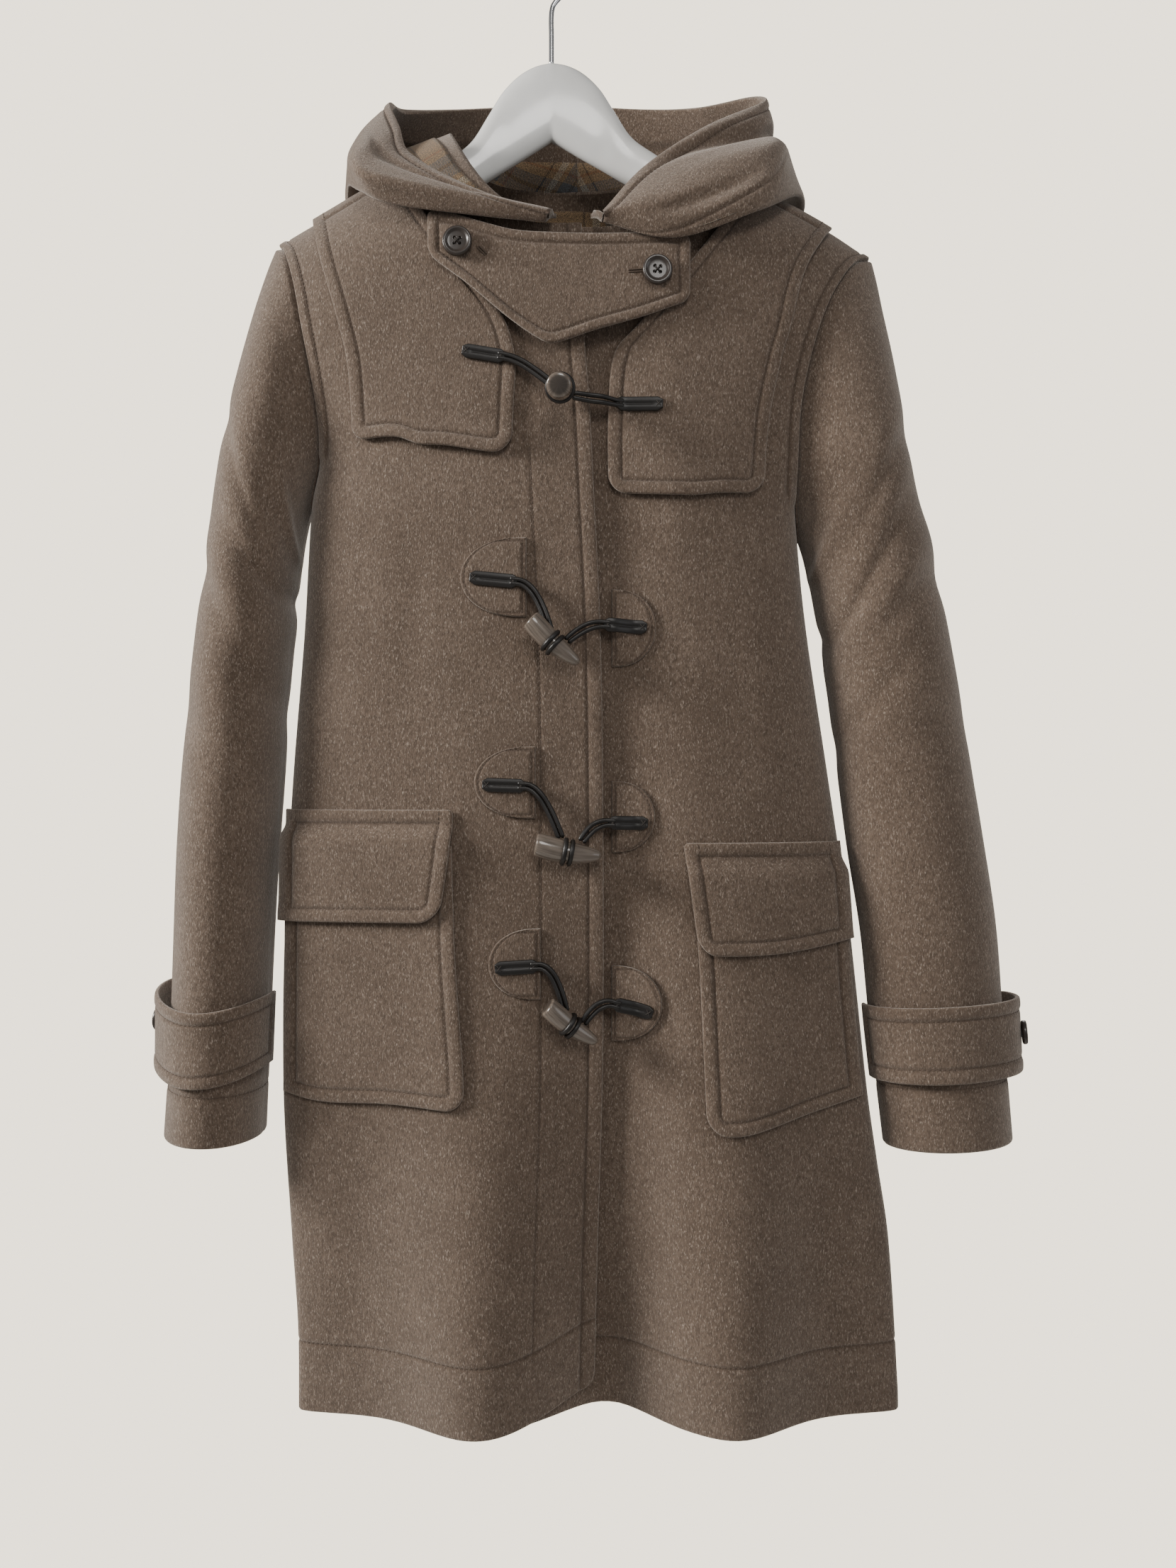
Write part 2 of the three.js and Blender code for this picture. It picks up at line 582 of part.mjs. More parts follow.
function horn(row) {
  const butt = onFace(-1, row.buttX, row.buttZ, row.buttLift);
  const tip = onFace(-1, row.tipX, row.tipZ, row.tipLift);
  const axis = tip.clone().sub(butt);
  const up = vec(0, 0, 1).projectOnPlane(axis.clone().normalize()).normalize();
  const out = axis.clone().normalize().cross(up);
  const sides = HORN_SIDES;
  const points = [butt.clone()];
  HORN_PROFILE.forEach(({ along, radius }) => {
    const bow = HORN_BOW * Math.sin(along * Math.PI);
    const middle = butt.clone().addScaledVector(axis, along).addScaledVector(up, -bow);
    for (let k = 0; k < sides; k += 1) {
      const turn = (k / sides) * 2 * Math.PI;
      const reach = radius * row.radius;
      points.push(middle.clone()
        .addScaledVector(up, reach * Math.cos(turn))
        .addScaledVector(out, reach * Math.sin(turn)));
    }
  });
  points.push(tip.clone());
  const faces = [];
  const rings = HORN_PROFILE.length;
  const at = (ring, k) => 1 + ring * sides + (k % sides);
  for (let k = 0; k < sides; k += 1) {
    faces.push([0, at(0, k + 1), at(0, k)]);
    for (let ring = 0; ring < rings - 1; ring += 1) {
      faces.push([at(ring, k), at(ring, k + 1), at(ring + 1, k + 1)]);
      faces.push([at(ring, k), at(ring + 1, k + 1), at(ring + 1, k)]);
    }
    faces.push([points.length - 1, at(rings - 1, k), at(rings - 1, k + 1)]);
  }
  if (signedVolume(points, faces) < 0) faces.forEach((face) => face.reverse());
  return meshOf(row.name, HORN, points, faces);
}
TOGGLES.forEach((row) => coat.add(horn(row)));

// Cuff straps wrap the front of each sleeve from its inner seam to a pointed end behind
const CUFF_LEFT = { rows: LEFT_SLEEVE, side: -1, top: 0.868, bottom: 0.933, dip: 0.015, from: -0.1, to: 0.5 };
const CUFF_RIGHT = { rows: RIGHT_SLEEVE, side: 1, top: 0.894, bottom: 0.951, dip: 0, from: -0.1, to: 0.5 };
const GAPE = 7;
const GAPE_AT = 0.16;
const GAPE_WIDTH = 0.2;

// How far the strap stands off the sleeve, most near its pointed end
const gapeAt = (u, cuff) => {
  const along = (u - cuff.from) / (cuff.to - cuff.from);
  return GAPE * bell(along - GAPE_AT, GAPE_WIDTH);
};

// How far the strap hangs below its ends, as a share of the sleeve's length
const dipAt = (u, cuff) => {
  return cuff.dip * Math.sin((Math.PI * (u - cuff.from)) / (cuff.to - cuff.from)) ** 2;
};

function cuffStrap(name, cuff) {
  const sleeve = (u, v) => sleevePoint(cuff.rows, cuff.side, u, v);
  const steps = STRAP_STEPS;
  const layerAt = (extra) => Array.from({ length: steps[0] + 1 }, (_, i) => {
    return Array.from({ length: steps[1] + 1 }, (_, j) => {
      const u = lerp(cuff.from, cuff.to, i / steps[0]);
      const v = lerp(cuff.top, cuff.bottom, j / steps[1]) + dipAt(u, cuff);
      const gape = gapeAt(u, cuff);
      const normal = cuffNormal(sleeve, u, v, cuff.side);
      return sleeve(u, v).addScaledVector(normal, ON_PANEL + gape + extra);
    });
  });
  return wall(name, WOOL, layerAt(CLOTH), layerAt(0));
}

function cuffNormal(sleeve, u, v, side) {
  const step = 1e-3;
  const across = sleeve(u + step, v).sub(sleeve(u - step, v));
  const down = sleeve(u, v + step).sub(sleeve(u, v - step));
  return across.cross(down).multiplyScalar(side).normalize();
}
coat.add(cuffStrap("cuff_strap_left", CUFF_LEFT));
coat.add(cuffStrap("cuff_strap_right", CUFF_RIGHT));

const CUFF_BUTTONS = [
  { name: "cuff_button_left", cuff: CUFF_LEFT, u: -0.015 },
  { name: "cuff_button_right", cuff: CUFF_RIGHT, u: 0.03 },
];
CUFF_BUTTONS.forEach(({ name, cuff, u }) => {
  const sleeve = (a, b) => sleevePoint(cuff.rows, cuff.side, a, b);
  const v = (cuff.top + cuff.bottom) / 2 + dipAt(u, cuff);
  const normal = cuffNormal(sleeve, u, v, cuff.side);
  const lift = ON_PANEL + gapeAt(u, cuff) + CLOTH;
  const foot = sleeve(u, v).addScaledVector(normal, lift);
  coat.add(button(name, foot, normal, CUFF_BUTTON_RADIUS));
});

// Hood: each row is a direction round the neck, from the throat to the middle of the back.
// The cloth leaves the neckline, lies over the shoulder, turns at a fold and comes up its side
// to the rim.
const HOOD_COLUMNS = "turn neckX lieX lieY lieZ foldX foldY foldZ sideX sideY sideZ rimX rimY rimZ";
const HOOD_LEFT = table(HOOD_COLUMNS, [
  [0, 5, 1, -58, -222, -2, -63, -227, 0, -68, -223, 3, -64, -218],
  [0.14, -22, -34, -57, -219, -46, -65, -223, -50, -70, -212, -44, -61, -205],
  [0.28, -55, -82, -56, -202, -110, -63, -214, -122, -67, -192, -97, -44, -169],
  [0.35, -66, -99, -42, -177, -132, -50, -199, -134, -54, -172, -108, -27, -140],
  [0.42, -72, -114, -14, -160, -146, -21, -182, -139, -24, -148, -118, -8, -113],
  [0.56, -66, -110, 30, -170, -152, 34, -190, -142, 38, -130, -113, 24, -99],
  [0.72, -40, -76, 62, -206, -112, 92, -270, -114, 108, -186, -79, 58, -80],
  [0.86, -10, -32, 66, -228, -48, 106, -300, -50, 128, -210, -34, 80, -66],
  [1, 17.8, 17.8, 66, -238, 17.8, 108, -312, 17.8, 132, -216, 17.8, 86, -62],
]);
const HOOD_RIGHT = table(HOOD_COLUMNS, [
  [0, 29, 33, -58, -222, 37, -63, -227, 38, -68, -223, 37, -64, -219],
  [0.14, 56, 70, -57, -222, 88, -65, -238, 86, -70, -212, 66, -52, -182],
  [0.28, 88, 116, -55, -203, 146, -60, -217, 150, -60, -188, 110, -37, -146],
  [0.42, 106, 146, -15, -172, 181, -19, -188, 168, -22, -158, 155, -8, -112],
  [0.56, 100, 142, 30, -176, 186, 34, -194, 173, 38, -140, 152, 20, -92],
  [0.72, 74, 118, 62, -206, 152, 92, -270, 156, 108, -182, 114, 56, -79.6],
  [0.86, 44, 66, 66, -228, 88, 106, -300, 92, 128, -208, 72, 78, -69],
  [1, 18.6, 18.6, 66, -238, 18.6, 108, -312, 18.6, 132, -216, 18.6, 86, -62],
]);
const HOOD_PLACES = [0, 0.18, 0.42, 0.68, 1];

const HOOD_SEAM = 2.7;
const NECK_TURN = 7;
const TURN_AT = 0.26;
const TURN_WIDTH = 0.14;

function hoodPoint(rows, u, v) {
  const value = (column) => read(rows, "turn", column, u);
  const half = u < 0.5 ? -1 : 1;
  const neckX = value("neckX");
  const neckZ = topZ(half, neckX);
  const rise = HOOD_SEAM + NECK_TURN * bell(u - TURN_AT, TURN_WIDTH);
  const laid = ["lie", "fold", "side", "rim"].map((place) => {
    return vec(value(`${place}X`), value(`${place}Y`), value(`${place}Z`));
  });
  const places = [vec(neckX, faceY(half, neckX, neckZ), neckZ + rise), ...laid];
  const line = places.map(({ x, y, z }, k) => ({ at: HOOD_PLACES[k], x, y, z }));
  return vec(...["x", "y", "z"].map((axis) => read(line, "at", axis, v)));
}
const hoodLeft = (u, v) => hoodPoint(HOOD_LEFT, u, v);
const hoodRight = (u, v) => hoodPoint(HOOD_RIGHT, u, v);

// Each half stays on its own side of the seam down the middle of the back
const HOOD_MIDDLE = 18.2;
function keepSide(side, point) {
  const seam = HOOD_MIDDLE + side * SEAM;
  return point.setX(side < 0 ? Math.min(point.x, seam) : Math.max(point.x, seam));
}

// At the neck seam the hood's inner layer stands straight above its outer one
const keepNeck = (side) => (moved, point, v) => {
  const inner = moved.distanceTo(point) > CLOTH / 2;
  return keepSide(side, v === 0 && inner ? point.setZ(point.z + CLOTH) : moved);
};
coat.add(sheet("hood_left", WOOL, hoodLeft, HOOD_STEPS, INWARD, -1, false, keepNeck(-1)));
coat.add(sheet("hood_right", WOOL, hoodRight, HOOD_STEPS, INWARD, 1, false, keepNeck(1)));

// The hood's lining runs from the fold and stops short of the rim, where the cloth turns in
const LINING_START = 6;
const LINING_STEPS = [HOOD_STEPS[0] - LINING_START, HOOD_STEPS[1] - LINING_START - 1];
const liningU = (u) => (LINING_START + u * LINING_STEPS[0]) / HOOD_STEPS[0];
const liningV = (v) => (LINING_START + v * LINING_STEPS[1]) / HOOD_STEPS[1];
const lined = (point) => (u, v) => point(liningU(u), liningV(v));
const LINING_GAP = 0.8;
const LINING_LAYERS = [-CLOTH - LINING_GAP - LINING, -CLOTH - LINING_GAP];
function hoodLining(name, point, side) {
  const keep = (moved) => keepSide(side, moved);
  return sheet(name, CHECK, lined(point), LINING_STEPS, LINING_LAYERS, side, false, keep);
}
coat.add(hoodLining("hood_lining_left", hoodLeft, -1));
coat.add(hoodLining("hood_lining_right", hoodRight, 1));

// Lining inside the back neck, just under the neckline
const NECK_LINING = table("x top bottom", [[-60, -178, -300], [17, -170, -320], [94, -186, -300]]);
const NECK_LINING_STEPS = [7, 4];
const NECK_LINING_GAP = 2;
function neckLining() {
  const steps = NECK_LINING_STEPS;
  const outline = byColumns(NECK_LINING, 0);
  const layerAt = (offset) => Array.from({ length: steps[0] + 1 }, (_, i) => {
    return Array.from({ length: steps[1] + 1 }, (_, j) => {
      const { x, z } = outline(i / steps[0], j / steps[1]);
      return onFace(1, x, z, offset);
    });
  });
  const outer = -CLOTH - NECK_LINING_GAP;
  return wall("neck_lining", CHECK, layerAt(outer), layerAt(outer - LINING));
}
coat.add(neckLining());

// Hanger: a moulded body lofted from its middle to each arm's end, with a wire hook
const HANGER = table("x top bottom thick", [
  [0, -80, -137.5, 8], [12, -82.5, -144.7, 8], [24, -89, -152, 8], [36, -101, -159, 8],
  [46, -117, -165, 8.5], [58, -136, -172, 9], [72, -147.5, -180.6, 10],
  [100, -165, -196, 11], [150, -190.5, -218, 12], [180, -207, -232, 12],
  [192, -214.5, -236, 10], [HANGER_END, -222, -234, 5],
]);

function hangerBody() {
  const stations = [...HANGER.slice(1).reverse().map((row) => -row.x), ...HANGER.map((row) => row.x)];
  const sides = HANGER_SIDES;
  const points = [];
  stations.forEach((x) => {
    const at = Math.abs(x);
    const top = read(HANGER, "x", "top", at);
    const bottom = read(HANGER, "x", "bottom", at);
    const thick = read(HANGER, "x", "thick", at);
    for (let k = 0; k < sides; k += 1) {
      const turn = (k / sides) * 2 * Math.PI;
      const across = Math.sign(Math.sin(turn)) * Math.abs(Math.sin(turn)) ** HANGER_POWER;
      const height = Math.sign(Math.cos(turn)) * Math.abs(Math.cos(turn)) ** HANGER_POWER;
      const z = lerp(bottom, top, (1 + height) / 2) + TILT * x;
      points.push(vec(x, thick * across, z));
    }
  });
  const at = (station, k) => station * sides + (k % sides);
  const faces = [];
  const last = stations.length - 1;
  for (let k = 0; k < sides; k += 1) {
    for (let station = 0; station < last; station += 1) {
      faces.push([at(station, k), at(station + 1, k), at(station + 1, k + 1)]);
      faces.push([at(station, k), at(station + 1, k + 1), at(station, k + 1)]);
    }
    if (k > 0 && k < sides - 1) {
      faces.push([at(0, 0), at(0, k), at(0, k + 1)]);
      faces.push([at(last, 0), at(last, k + 1), at(last, k)]);
    }
  }
  if (signedVolume(points, faces) < 0) faces.forEach((face) => face.reverse());
  return meshOf("hanger_body", WHITE, points, faces);
}
coat.add(hangerBody());

// The hook: a straight stem on the hanger's middle that swings out and over in a half round
const HOOK_TOP = WIRE - HOOK_RADIUS;
const HOOK_ROUTE = [
  [0, -79.3], [0, -60], [0, -44], [1.6, -36.5], [8, -29], [14, -22],
].map(([x, z]) => vec(x, 0, z));
const HOOK_TURN = 8;
const HOOK_SWEEP = 1.08 * Math.PI;
const HOOK_STEPS = 34;
const WIRE_SIDES = 4;
for (let k = 0; k <= HOOK_TURN; k += 1) {
  const turn = (k / HOOK_TURN) * HOOK_SWEEP;
  HOOK_ROUTE.push(vec(HOOK_RADIUS * Math.cos(turn), 0, HOOK_TOP + HOOK_RADIUS * Math.sin(turn)));
}
const wire = new THREE.Shape();
wire.absarc(0, 0, WIRE, 0, 2 * Math.PI);
const hookShape = {
  steps: HOOK_STEPS,
  curveSegments: WIRE_SIDES,
  extrudePath: new THREE.CatmullRomCurve3(HOOK_ROUTE),
};
const hook = new THREE.Mesh(
  new THREE.ExtrudeGeometry(wire, hookShape),
  new THREE.MeshStandardMaterial(CHROME),
);
hook.name = "hanger_hook";
coat.add(hook);

export default coat;
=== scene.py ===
"""Duffle coat hung on a moulded hanger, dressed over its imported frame.

Every surface below is worked out in millimetres in the frame's own axes: the front faces -Y,
X runs to the viewer's right and Z is up. Points are put in metres as each mesh is made.
"""
import math

import bpy
import numpy as np
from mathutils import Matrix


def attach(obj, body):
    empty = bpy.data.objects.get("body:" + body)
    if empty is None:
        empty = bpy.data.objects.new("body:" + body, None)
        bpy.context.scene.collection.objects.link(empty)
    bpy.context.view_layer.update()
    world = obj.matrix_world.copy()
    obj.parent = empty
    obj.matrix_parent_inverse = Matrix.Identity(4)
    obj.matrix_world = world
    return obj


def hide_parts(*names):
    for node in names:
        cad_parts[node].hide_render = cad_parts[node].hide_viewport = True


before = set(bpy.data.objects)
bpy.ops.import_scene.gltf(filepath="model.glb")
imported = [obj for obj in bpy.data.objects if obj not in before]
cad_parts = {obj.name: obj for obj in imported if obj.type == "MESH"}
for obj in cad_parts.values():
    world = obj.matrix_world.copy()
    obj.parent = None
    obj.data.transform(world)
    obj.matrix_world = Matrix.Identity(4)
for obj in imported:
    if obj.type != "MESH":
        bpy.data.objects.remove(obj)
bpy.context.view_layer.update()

MM = 0.001
BODY = "root"
CLOTH = 3.0
LINING = 1.5
SEAM = 0.4
ARMHOLE_SEAM = 1.4
SHOULDER_ROUND = 100.0
SECTION_POWER = 2.5
COAT_CENTRE = 17.0
NECK_HALF = 90.0
NECK_POWER = 4
THROAT_Z = -222.0
BACK_NECK_Z = -158.0
HEM_Z = -1055.0
LAP_ROOM = 3.0
CORNER_RISE = 19.0
TILT = 0.03
CORNER_WIDTH = 45.0
LAP_START, LAP_RUN = 14.0, 50.0
SLOPE_STEP = 0.5
# A distance larger than any on the coat
FAR = 1e3


# Numbers and tables

def table(names, rows):
    """Columns of a table by name."""
    return dict(zip(names.split(), np.array(rows, float).T))


def read(rows, key, column, at):
    """Reads a column at a key: a cubic through each pair of rows, whose slope at a row is the
    rise between its two neighbours."""
    keys, values = rows[key], rows[column]
    if keys[0] > keys[-1]:
        keys, values = keys[::-1], values[::-1]
    rise, run = (
        np.concatenate([v[1:2] - v[:1], v[2:] - v[:-2], v[-1:] - v[-2:-1]]) for v in (values, keys))
    slope = rise / run
    at = np.asarray(at, float)
    low = np.clip(np.searchsorted(keys, at, side="right") - 1, 0, len(keys) - 2)
    span = keys[low + 1] - keys[low]
    t = np.clip((at - keys[low]) / span, 0, 1)
    start, end = values[low], values[low + 1]
    bend = t * (1 - t) * span
    return start + (end - start) * t * t * (3 - 2 * t) + bend * (slope[low] * (1 - t) - slope[low + 1] * t)


def clamp(value):
    """The value held between 0 and 1."""
    return np.clip(value, 0, 1)


def lerp(a, b, t):
    """The value a share t of the way from a to b."""
    return a + (b - a) * t


def smooth(t):
    """A step from 0 to 1 with level ends: three times the square less twice the cube."""
    return clamp(t) ** 2 * (3 - 2 * clamp(t))


def bell(x, width):
    """A Gaussian: 1 at 0, and 1/e at the width."""
    return np.exp(-((x / width) ** 2))


def stack(x, y, z):
    """Points from three arrays of coordinates."""
    return np.stack(np.broadcast_arrays(x, y, z), axis=-1).astype(float)


def unit(vectors):
    """Vectors of length 1 in the same directions."""
    return vectors / np.maximum(np.linalg.norm(vectors, axis=-1, keepdims=True), 1e-9)


def run_of(line):
    """The way run along a line of points, at each of them."""
    return np.concatenate([[0], np.linalg.norm(np.diff(line, axis=0), axis=1).cumsum()])


# The coat's own form

RIDGE = table("x z", [
    [0, -107], [40, -121], [60, -133.5], [72, -141], [100, -157],
    [150, -184], [200, -211], [234, -233], [270, -250],
])
LEFT_SIDE = table("z x spread", [
    [-200, -199.5, 1.32], [-217, -199.5, 1.3], [-226, -193, 1.28], [-252, -184, 1.22],
    [-287, -177, 1.17], [-321, -171, 1.12], [-355, -167, 1.06], [-380, -168.5, 1.02],
    [-410, -176, 1], [-500, -181, 1], [-609, -189, 1], [-720, -194, 1], [-835, -193, 1],
    [-936, -185, 1], [-1000, -179.5, 1], [-1060, -178, 1],
])
RIGHT_SIDE = table("z x spread", [
    [-210, 233.6, 1.32], [-226, 233.6, 1.3], [-233, 223, 1.27], [-244, 213, 1.24],
    [-268, 199, 1.2], [-299, 188, 1.16], [-338, 180, 1.11], [-377, 178, 1.07],
    [-409, 178, 1.02], [-435, 181, 1], [-500, 187.5, 1], [-600, 202, 1], [-700, 216, 1],
    [-758, 222, 1], [-835, 229, 1], [-883, 235, 1], [-936, 242, 1], [-1041, 247, 1],
    [-1060, 247, 1],
])
DEPTH = table("z side front back fold", [
    [-100, 0, 50, 46, 0], [-217, 0, 52, 46, 0], [-410, 0, 52, 48, 0], [-600, -4, 52, 48, 0.05],
    [-750, -12, 52, 48, 0.2], [-900, -24, 50, 47, 0.6], [-1000, -31, 48, 46, 0.88],
    [-1060, -35, 46, 45, 1],
])
FRONT_FOLDS = table("x width lift", [[-52, 52, 36], [131, 48, 36], [38, 30, -14]])
BACK_FOLDS = table("x width lift", [
    [-120, 34, 12], [-35, 30, -8], [48, 36, 14], [140, 32, -7], [200, 24, 9],
])
FRONT_EDGE = table("z x", [
    [-200, 22], [-300, 24.5], [-345, 28], [-415, 31.5], [-500, 35.5], [-610, 37.5],
    [-806, 37.5], [-940, 34], [-1060, 31.5],
])
LAP = table("z width", [[-200, 20], [-240, 26], [-300, 60], [-350, 85], [-1060, 85]])

# Soft creases: both ends, half width across, height (out is positive) and sideways bow
FRONT_CREASES = table("x0 z0 x1 z1 width lift bow", [
    [-150, -400, -128, -640, 16, 2.2, 6],
    [-96, -392, -104, -610, 13, -1.8, -5],
    [-60, -520, -66, -900, 18, 2.0, 4],
    [140, -430, 160, -660, 17, 2.2, -6],
    [98, -430, 92, -640, 12, -1.6, 5],
    [84, -820, 70, -1040, 14, -2.0, 3],
    [-140, -850, -128, -1050, 16, -2.4, 4],
    [176, -860, 196, -1050, 15, -2.0, -4],
    [166, -345, 138, -420, 8, -1.6, 3],
    [-160, -360, -140, -428, 8, -1.4, -3],
])
BACK_CREASES = table("x0 z0 x1 z1 width lift bow", [
    [-150, -240, -110, -430, 15, 2.4, 8],
    [178, -250, 138, -450, 15, 2.4, -8],
    [-60, -300, -70, -760, 20, -2.0, 6],
    [92, -330, 104, -800, 18, -2.2, -6],
    [20, -420, 14, -900, 16, 1.8, 5],
    [-130, -560, -146, -980, 17, 2.2, -5],
    [168, -620, 186, -1000, 16, 2.0, 5],
    [-20, -700, -30, -1040, 12, -1.8, 3],
])


def crease_sum(rows, x, z):
    """Sum of soft troughs and ridges. Each one is a bell across its line, bowed sideways, and
    rises and dies away along it as a squared sine."""
    total = np.zeros(np.broadcast(x, z).shape)
    for x0, z0, x1, z1, width, lift, bow in zip(*rows.values()):
        length = math.hypot(x1 - x0, z1 - z0)
        along = clamp(((x - x0) * (x1 - x0) + (z - z0) * (z1 - z0)) / length**2)
        off = ((x - x0) * (z1 - z0) - (z - z0) * (x1 - x0)) / length
        off = off - bow * 4 * along * (1 - along)
        total += lift * bell(off, width) * np.sin(np.pi * along) ** 2
    return total


def ridge_z(x):
    """Height of the shoulder ridge: its table, tilted with the hanger."""
    return read(RIDGE, "x", "z", np.abs(x)) + TILT * x


def side_x(side, z):
    """X of the left (-1) or right (1) side edge: the armhole, then the side seam."""
    return read(LEFT_SIDE if side < 0 else RIGHT_SIDE, "z", "x", z)


def depth_at(column, z):
    """One column of the depth table at a height."""
    return read(DEPTH, "z", column, z)


def edge_x(z):
    """X of the lapping front's centre edge."""
    return read(FRONT_EDGE, "z", "x", z)


def fold_sum(folds, x):
    """Sum of the hem's folds: a bell across each."""
    return sum(lift * bell(x - at, width) for at, width, lift in zip(*folds.values()))


def fullness(x, z):
    """How full the section is: a superellipse, 0 at a side seam and 1 in the middle, spread
    wider than the seam at the armhole."""
    left, right = side_x(-1, z), side_x(1, z)
    across = (2 * x - left - right) / (right - left)
    spread = np.where(across < 0, read(LEFT_SIDE, "z", "spread", z), read(RIGHT_SIDE, "z", "spread", z))
    ratio = np.minimum(1, np.abs(across) / spread)
    return (1 - ratio**SECTION_POWER) ** (1 / SECTION_POWER)


def roundness(x, z):
    """Quarter round below the shoulder ridge."""
    below = clamp((ridge_z(x) - z) / SHOULDER_ROUND)
    return np.sqrt(1 - (1 - below) ** 2)


def face_y(half, x, z):
    """Y of the coat's outer face on the front (-1) or the back (1): from the side seam's depth
    to the face's reach by fullness and roundness, plus the hem's folds and the creases."""
    full = fullness(x, z)
    side = depth_at("side", z)
    front = side + (-depth_at("front", z) - side) * full * roundness(x, z)
    back = side + (depth_at("back", z) - side) * full * roundness(x, z)
    front = front - fold_sum(FRONT_FOLDS, x) * depth_at("fold", z) * full**2
    back = back + fold_sum(BACK_FOLDS, x) * depth_at("fold", z) * full**2
    front = front - crease_sum(FRONT_CREASES, x, z) * full**2
    back = back + crease_sum(BACK_CREASES, x, z) * full**2
    return np.where(np.asarray(half) < 0, front, back)


def top_z(half, x):
    """Height of the top edge: the shoulder ridge outside the neck, the neckline inside it."""
    across = np.minimum(1, np.abs((x - COAT_CENTRE) / NECK_HALF))
    low = THROAT_Z if half < 0 else BACK_NECK_Z
    corner = ridge_z(COAT_CENTRE + np.sign(x - COAT_CENTRE) * NECK_HALF)
    return np.where(across >= 1, ridge_z(x), lerp(low, corner, across**NECK_POWER))


def lapping_hem(x):
    """Height of the lapping front's hem, which rises to its corner as a bell."""
    return HEM_Z + CORNER_RISE * bell(x - edge_x(HEM_Z), CORNER_WIDTH)


def under_lap(x, z):
    """How far the under front lies behind the lapping one."""
    deep = CLOTH + LAP_ROOM * (1 + depth_at("fold", z))
    return deep * (1 - smooth((x - edge_x(z) - LAP_START) / LAP_RUN))


def front_sink(x, z):
    """How far the front that shows at a place lies behind the lapping one."""
    return np.where(x > edge_x(z) + 1, under_lap(x, z), 0)


def on_face(half, x, z, lift=0.0, sink=0.0):
    """A point on the coat's outer face, moved out along the face's normal."""
    step = SLOPE_STEP
    slope_x = (face_y(half, x + step, z) - face_y(half, x - step, z)) / (2 * step)
    slope_z = (face_y(half, x, z + step) - face_y(half, x, z - step)) / (2 * step)
    normal = unit(stack(-half * slope_x, half, -half * slope_z))
    point = stack(x, face_y(half, x, z) + half * SEAM * 0.5 - half * sink, z)
    return point + normal * np.asarray(lift)[..., None]


# Grids, walls and meshes

def spaced(start, end, middle, crowd=None):
    """Places along a direction: fixed steps in from each end, and shares between them.
    Each place is a share of the whole and millimetres added to it."""
    start, end = np.array(start, float), np.array(end, float)
    f = np.arange(1, middle) / middle
    f = crowd(f) if crowd else f
    share = np.concatenate([0 * start, f, 0 * end + 1])
    plus = np.concatenate([start, start[-1] * (1 - f) - end[-1] * f, -end[::-1]])
    return share, plus


def corner_round(from_side, from_end, radius):
    """Bends a square corner of a grid into a quarter round: each coordinate, counted from the
    round's centre, shrinks by the root of one less half the square of the other."""
    x, y = clamp(1 - from_side / radius), clamp(1 - from_end / radius)
    x_new, y_new = x * np.sqrt(1 - y * y / 2), y * np.sqrt(1 - x * x / 2)
    away = radius * (1 - np.hypot(x_new, y_new))
    return (x - x_new) * radius, (y - y_new) * radius, np.where((x > 0) & (y > 0), away, FAR)


def rounded_grid(across, down, radii):
    """Grid of places with its corners rounded, and each place's distance from the outline.
    radii holds the left top, right top, left bottom and right bottom corner."""
    p, m = (values[:, None] for values in across)
    q, n = (values[None, :] for values in down)
    p, m, q, n = np.broadcast_arrays(p, m, q, n)
    m, n = m.copy(), n.copy()
    left, right = np.where(p == 0, m, FAR), np.where(p == 1, -m, FAR)
    top, bottom = np.where(q == 0, n, FAR), np.where(q == 1, -n, FAR)
    near = np.minimum(np.minimum(left, right), np.minimum(top, bottom))
    shift_m, shift_n = np.zeros_like(m), np.zeros_like(n)
    sides = ((left, top, 1, 1), (right, top, -1, 1), (left, bottom, 1, -1), (right, bottom, -1, -1))
    for (side, end, turn_m, turn_n), radius in zip(sides, radii):
        if radius > 0:
            move_m, move_n, away = corner_round(side, end, radius)
            inside = away < FAR
            shift_m = np.where(inside, turn_m * move_m, shift_m)
            shift_n = np.where(inside, turn_n * move_n, shift_n)
            near = np.where(inside, away, near)
    return p, m + shift_m, q, n + shift_n, near


def grid_normals(points, turn, wrap=False):
    """Unit normals of a grid of points from the differences of its neighbours."""
    if wrap:
        across = np.roll(points, -1, axis=0) - np.roll(points, 1, axis=0)
    else:
        across = np.gradient(points, axis=0)
    return unit(turn * np.cross(across, np.gradient(points, axis=1)))


def loop_of(columns, rows):
    """Indices round the edge of a grid whose point (i, j) is number i * rows + j."""
    i, j = np.arange(columns), np.arange(rows)
    return np.concatenate([
        i * rows, (columns - 1) * rows + j[1:], i[::-1][1:] * rows + rows - 1, j[::-1][1:-1],
    ])


def quads_of(columns, rows, wrap=False):
    """Quads of a grid of points, closed round its columns where it wraps."""
    last = columns if wrap else columns - 1
    i, j = np.meshgrid(np.arange(last), np.arange(rows - 1), indexing="ij")
    a, b = i * rows + j, ((i + 1) % columns) * rows + j
    return np.stack([a, b, b + 1, a + 1], axis=-1).reshape(-1, 4)


def strip_of(first, second, closed=True):
    """Quads between two loops of indices."""
    if closed:
        first, second = np.append(first, first[0]), np.append(second, second[0])
    return np.stack([first[:-1], first[1:], second[1:], second[:-1]], axis=-1)


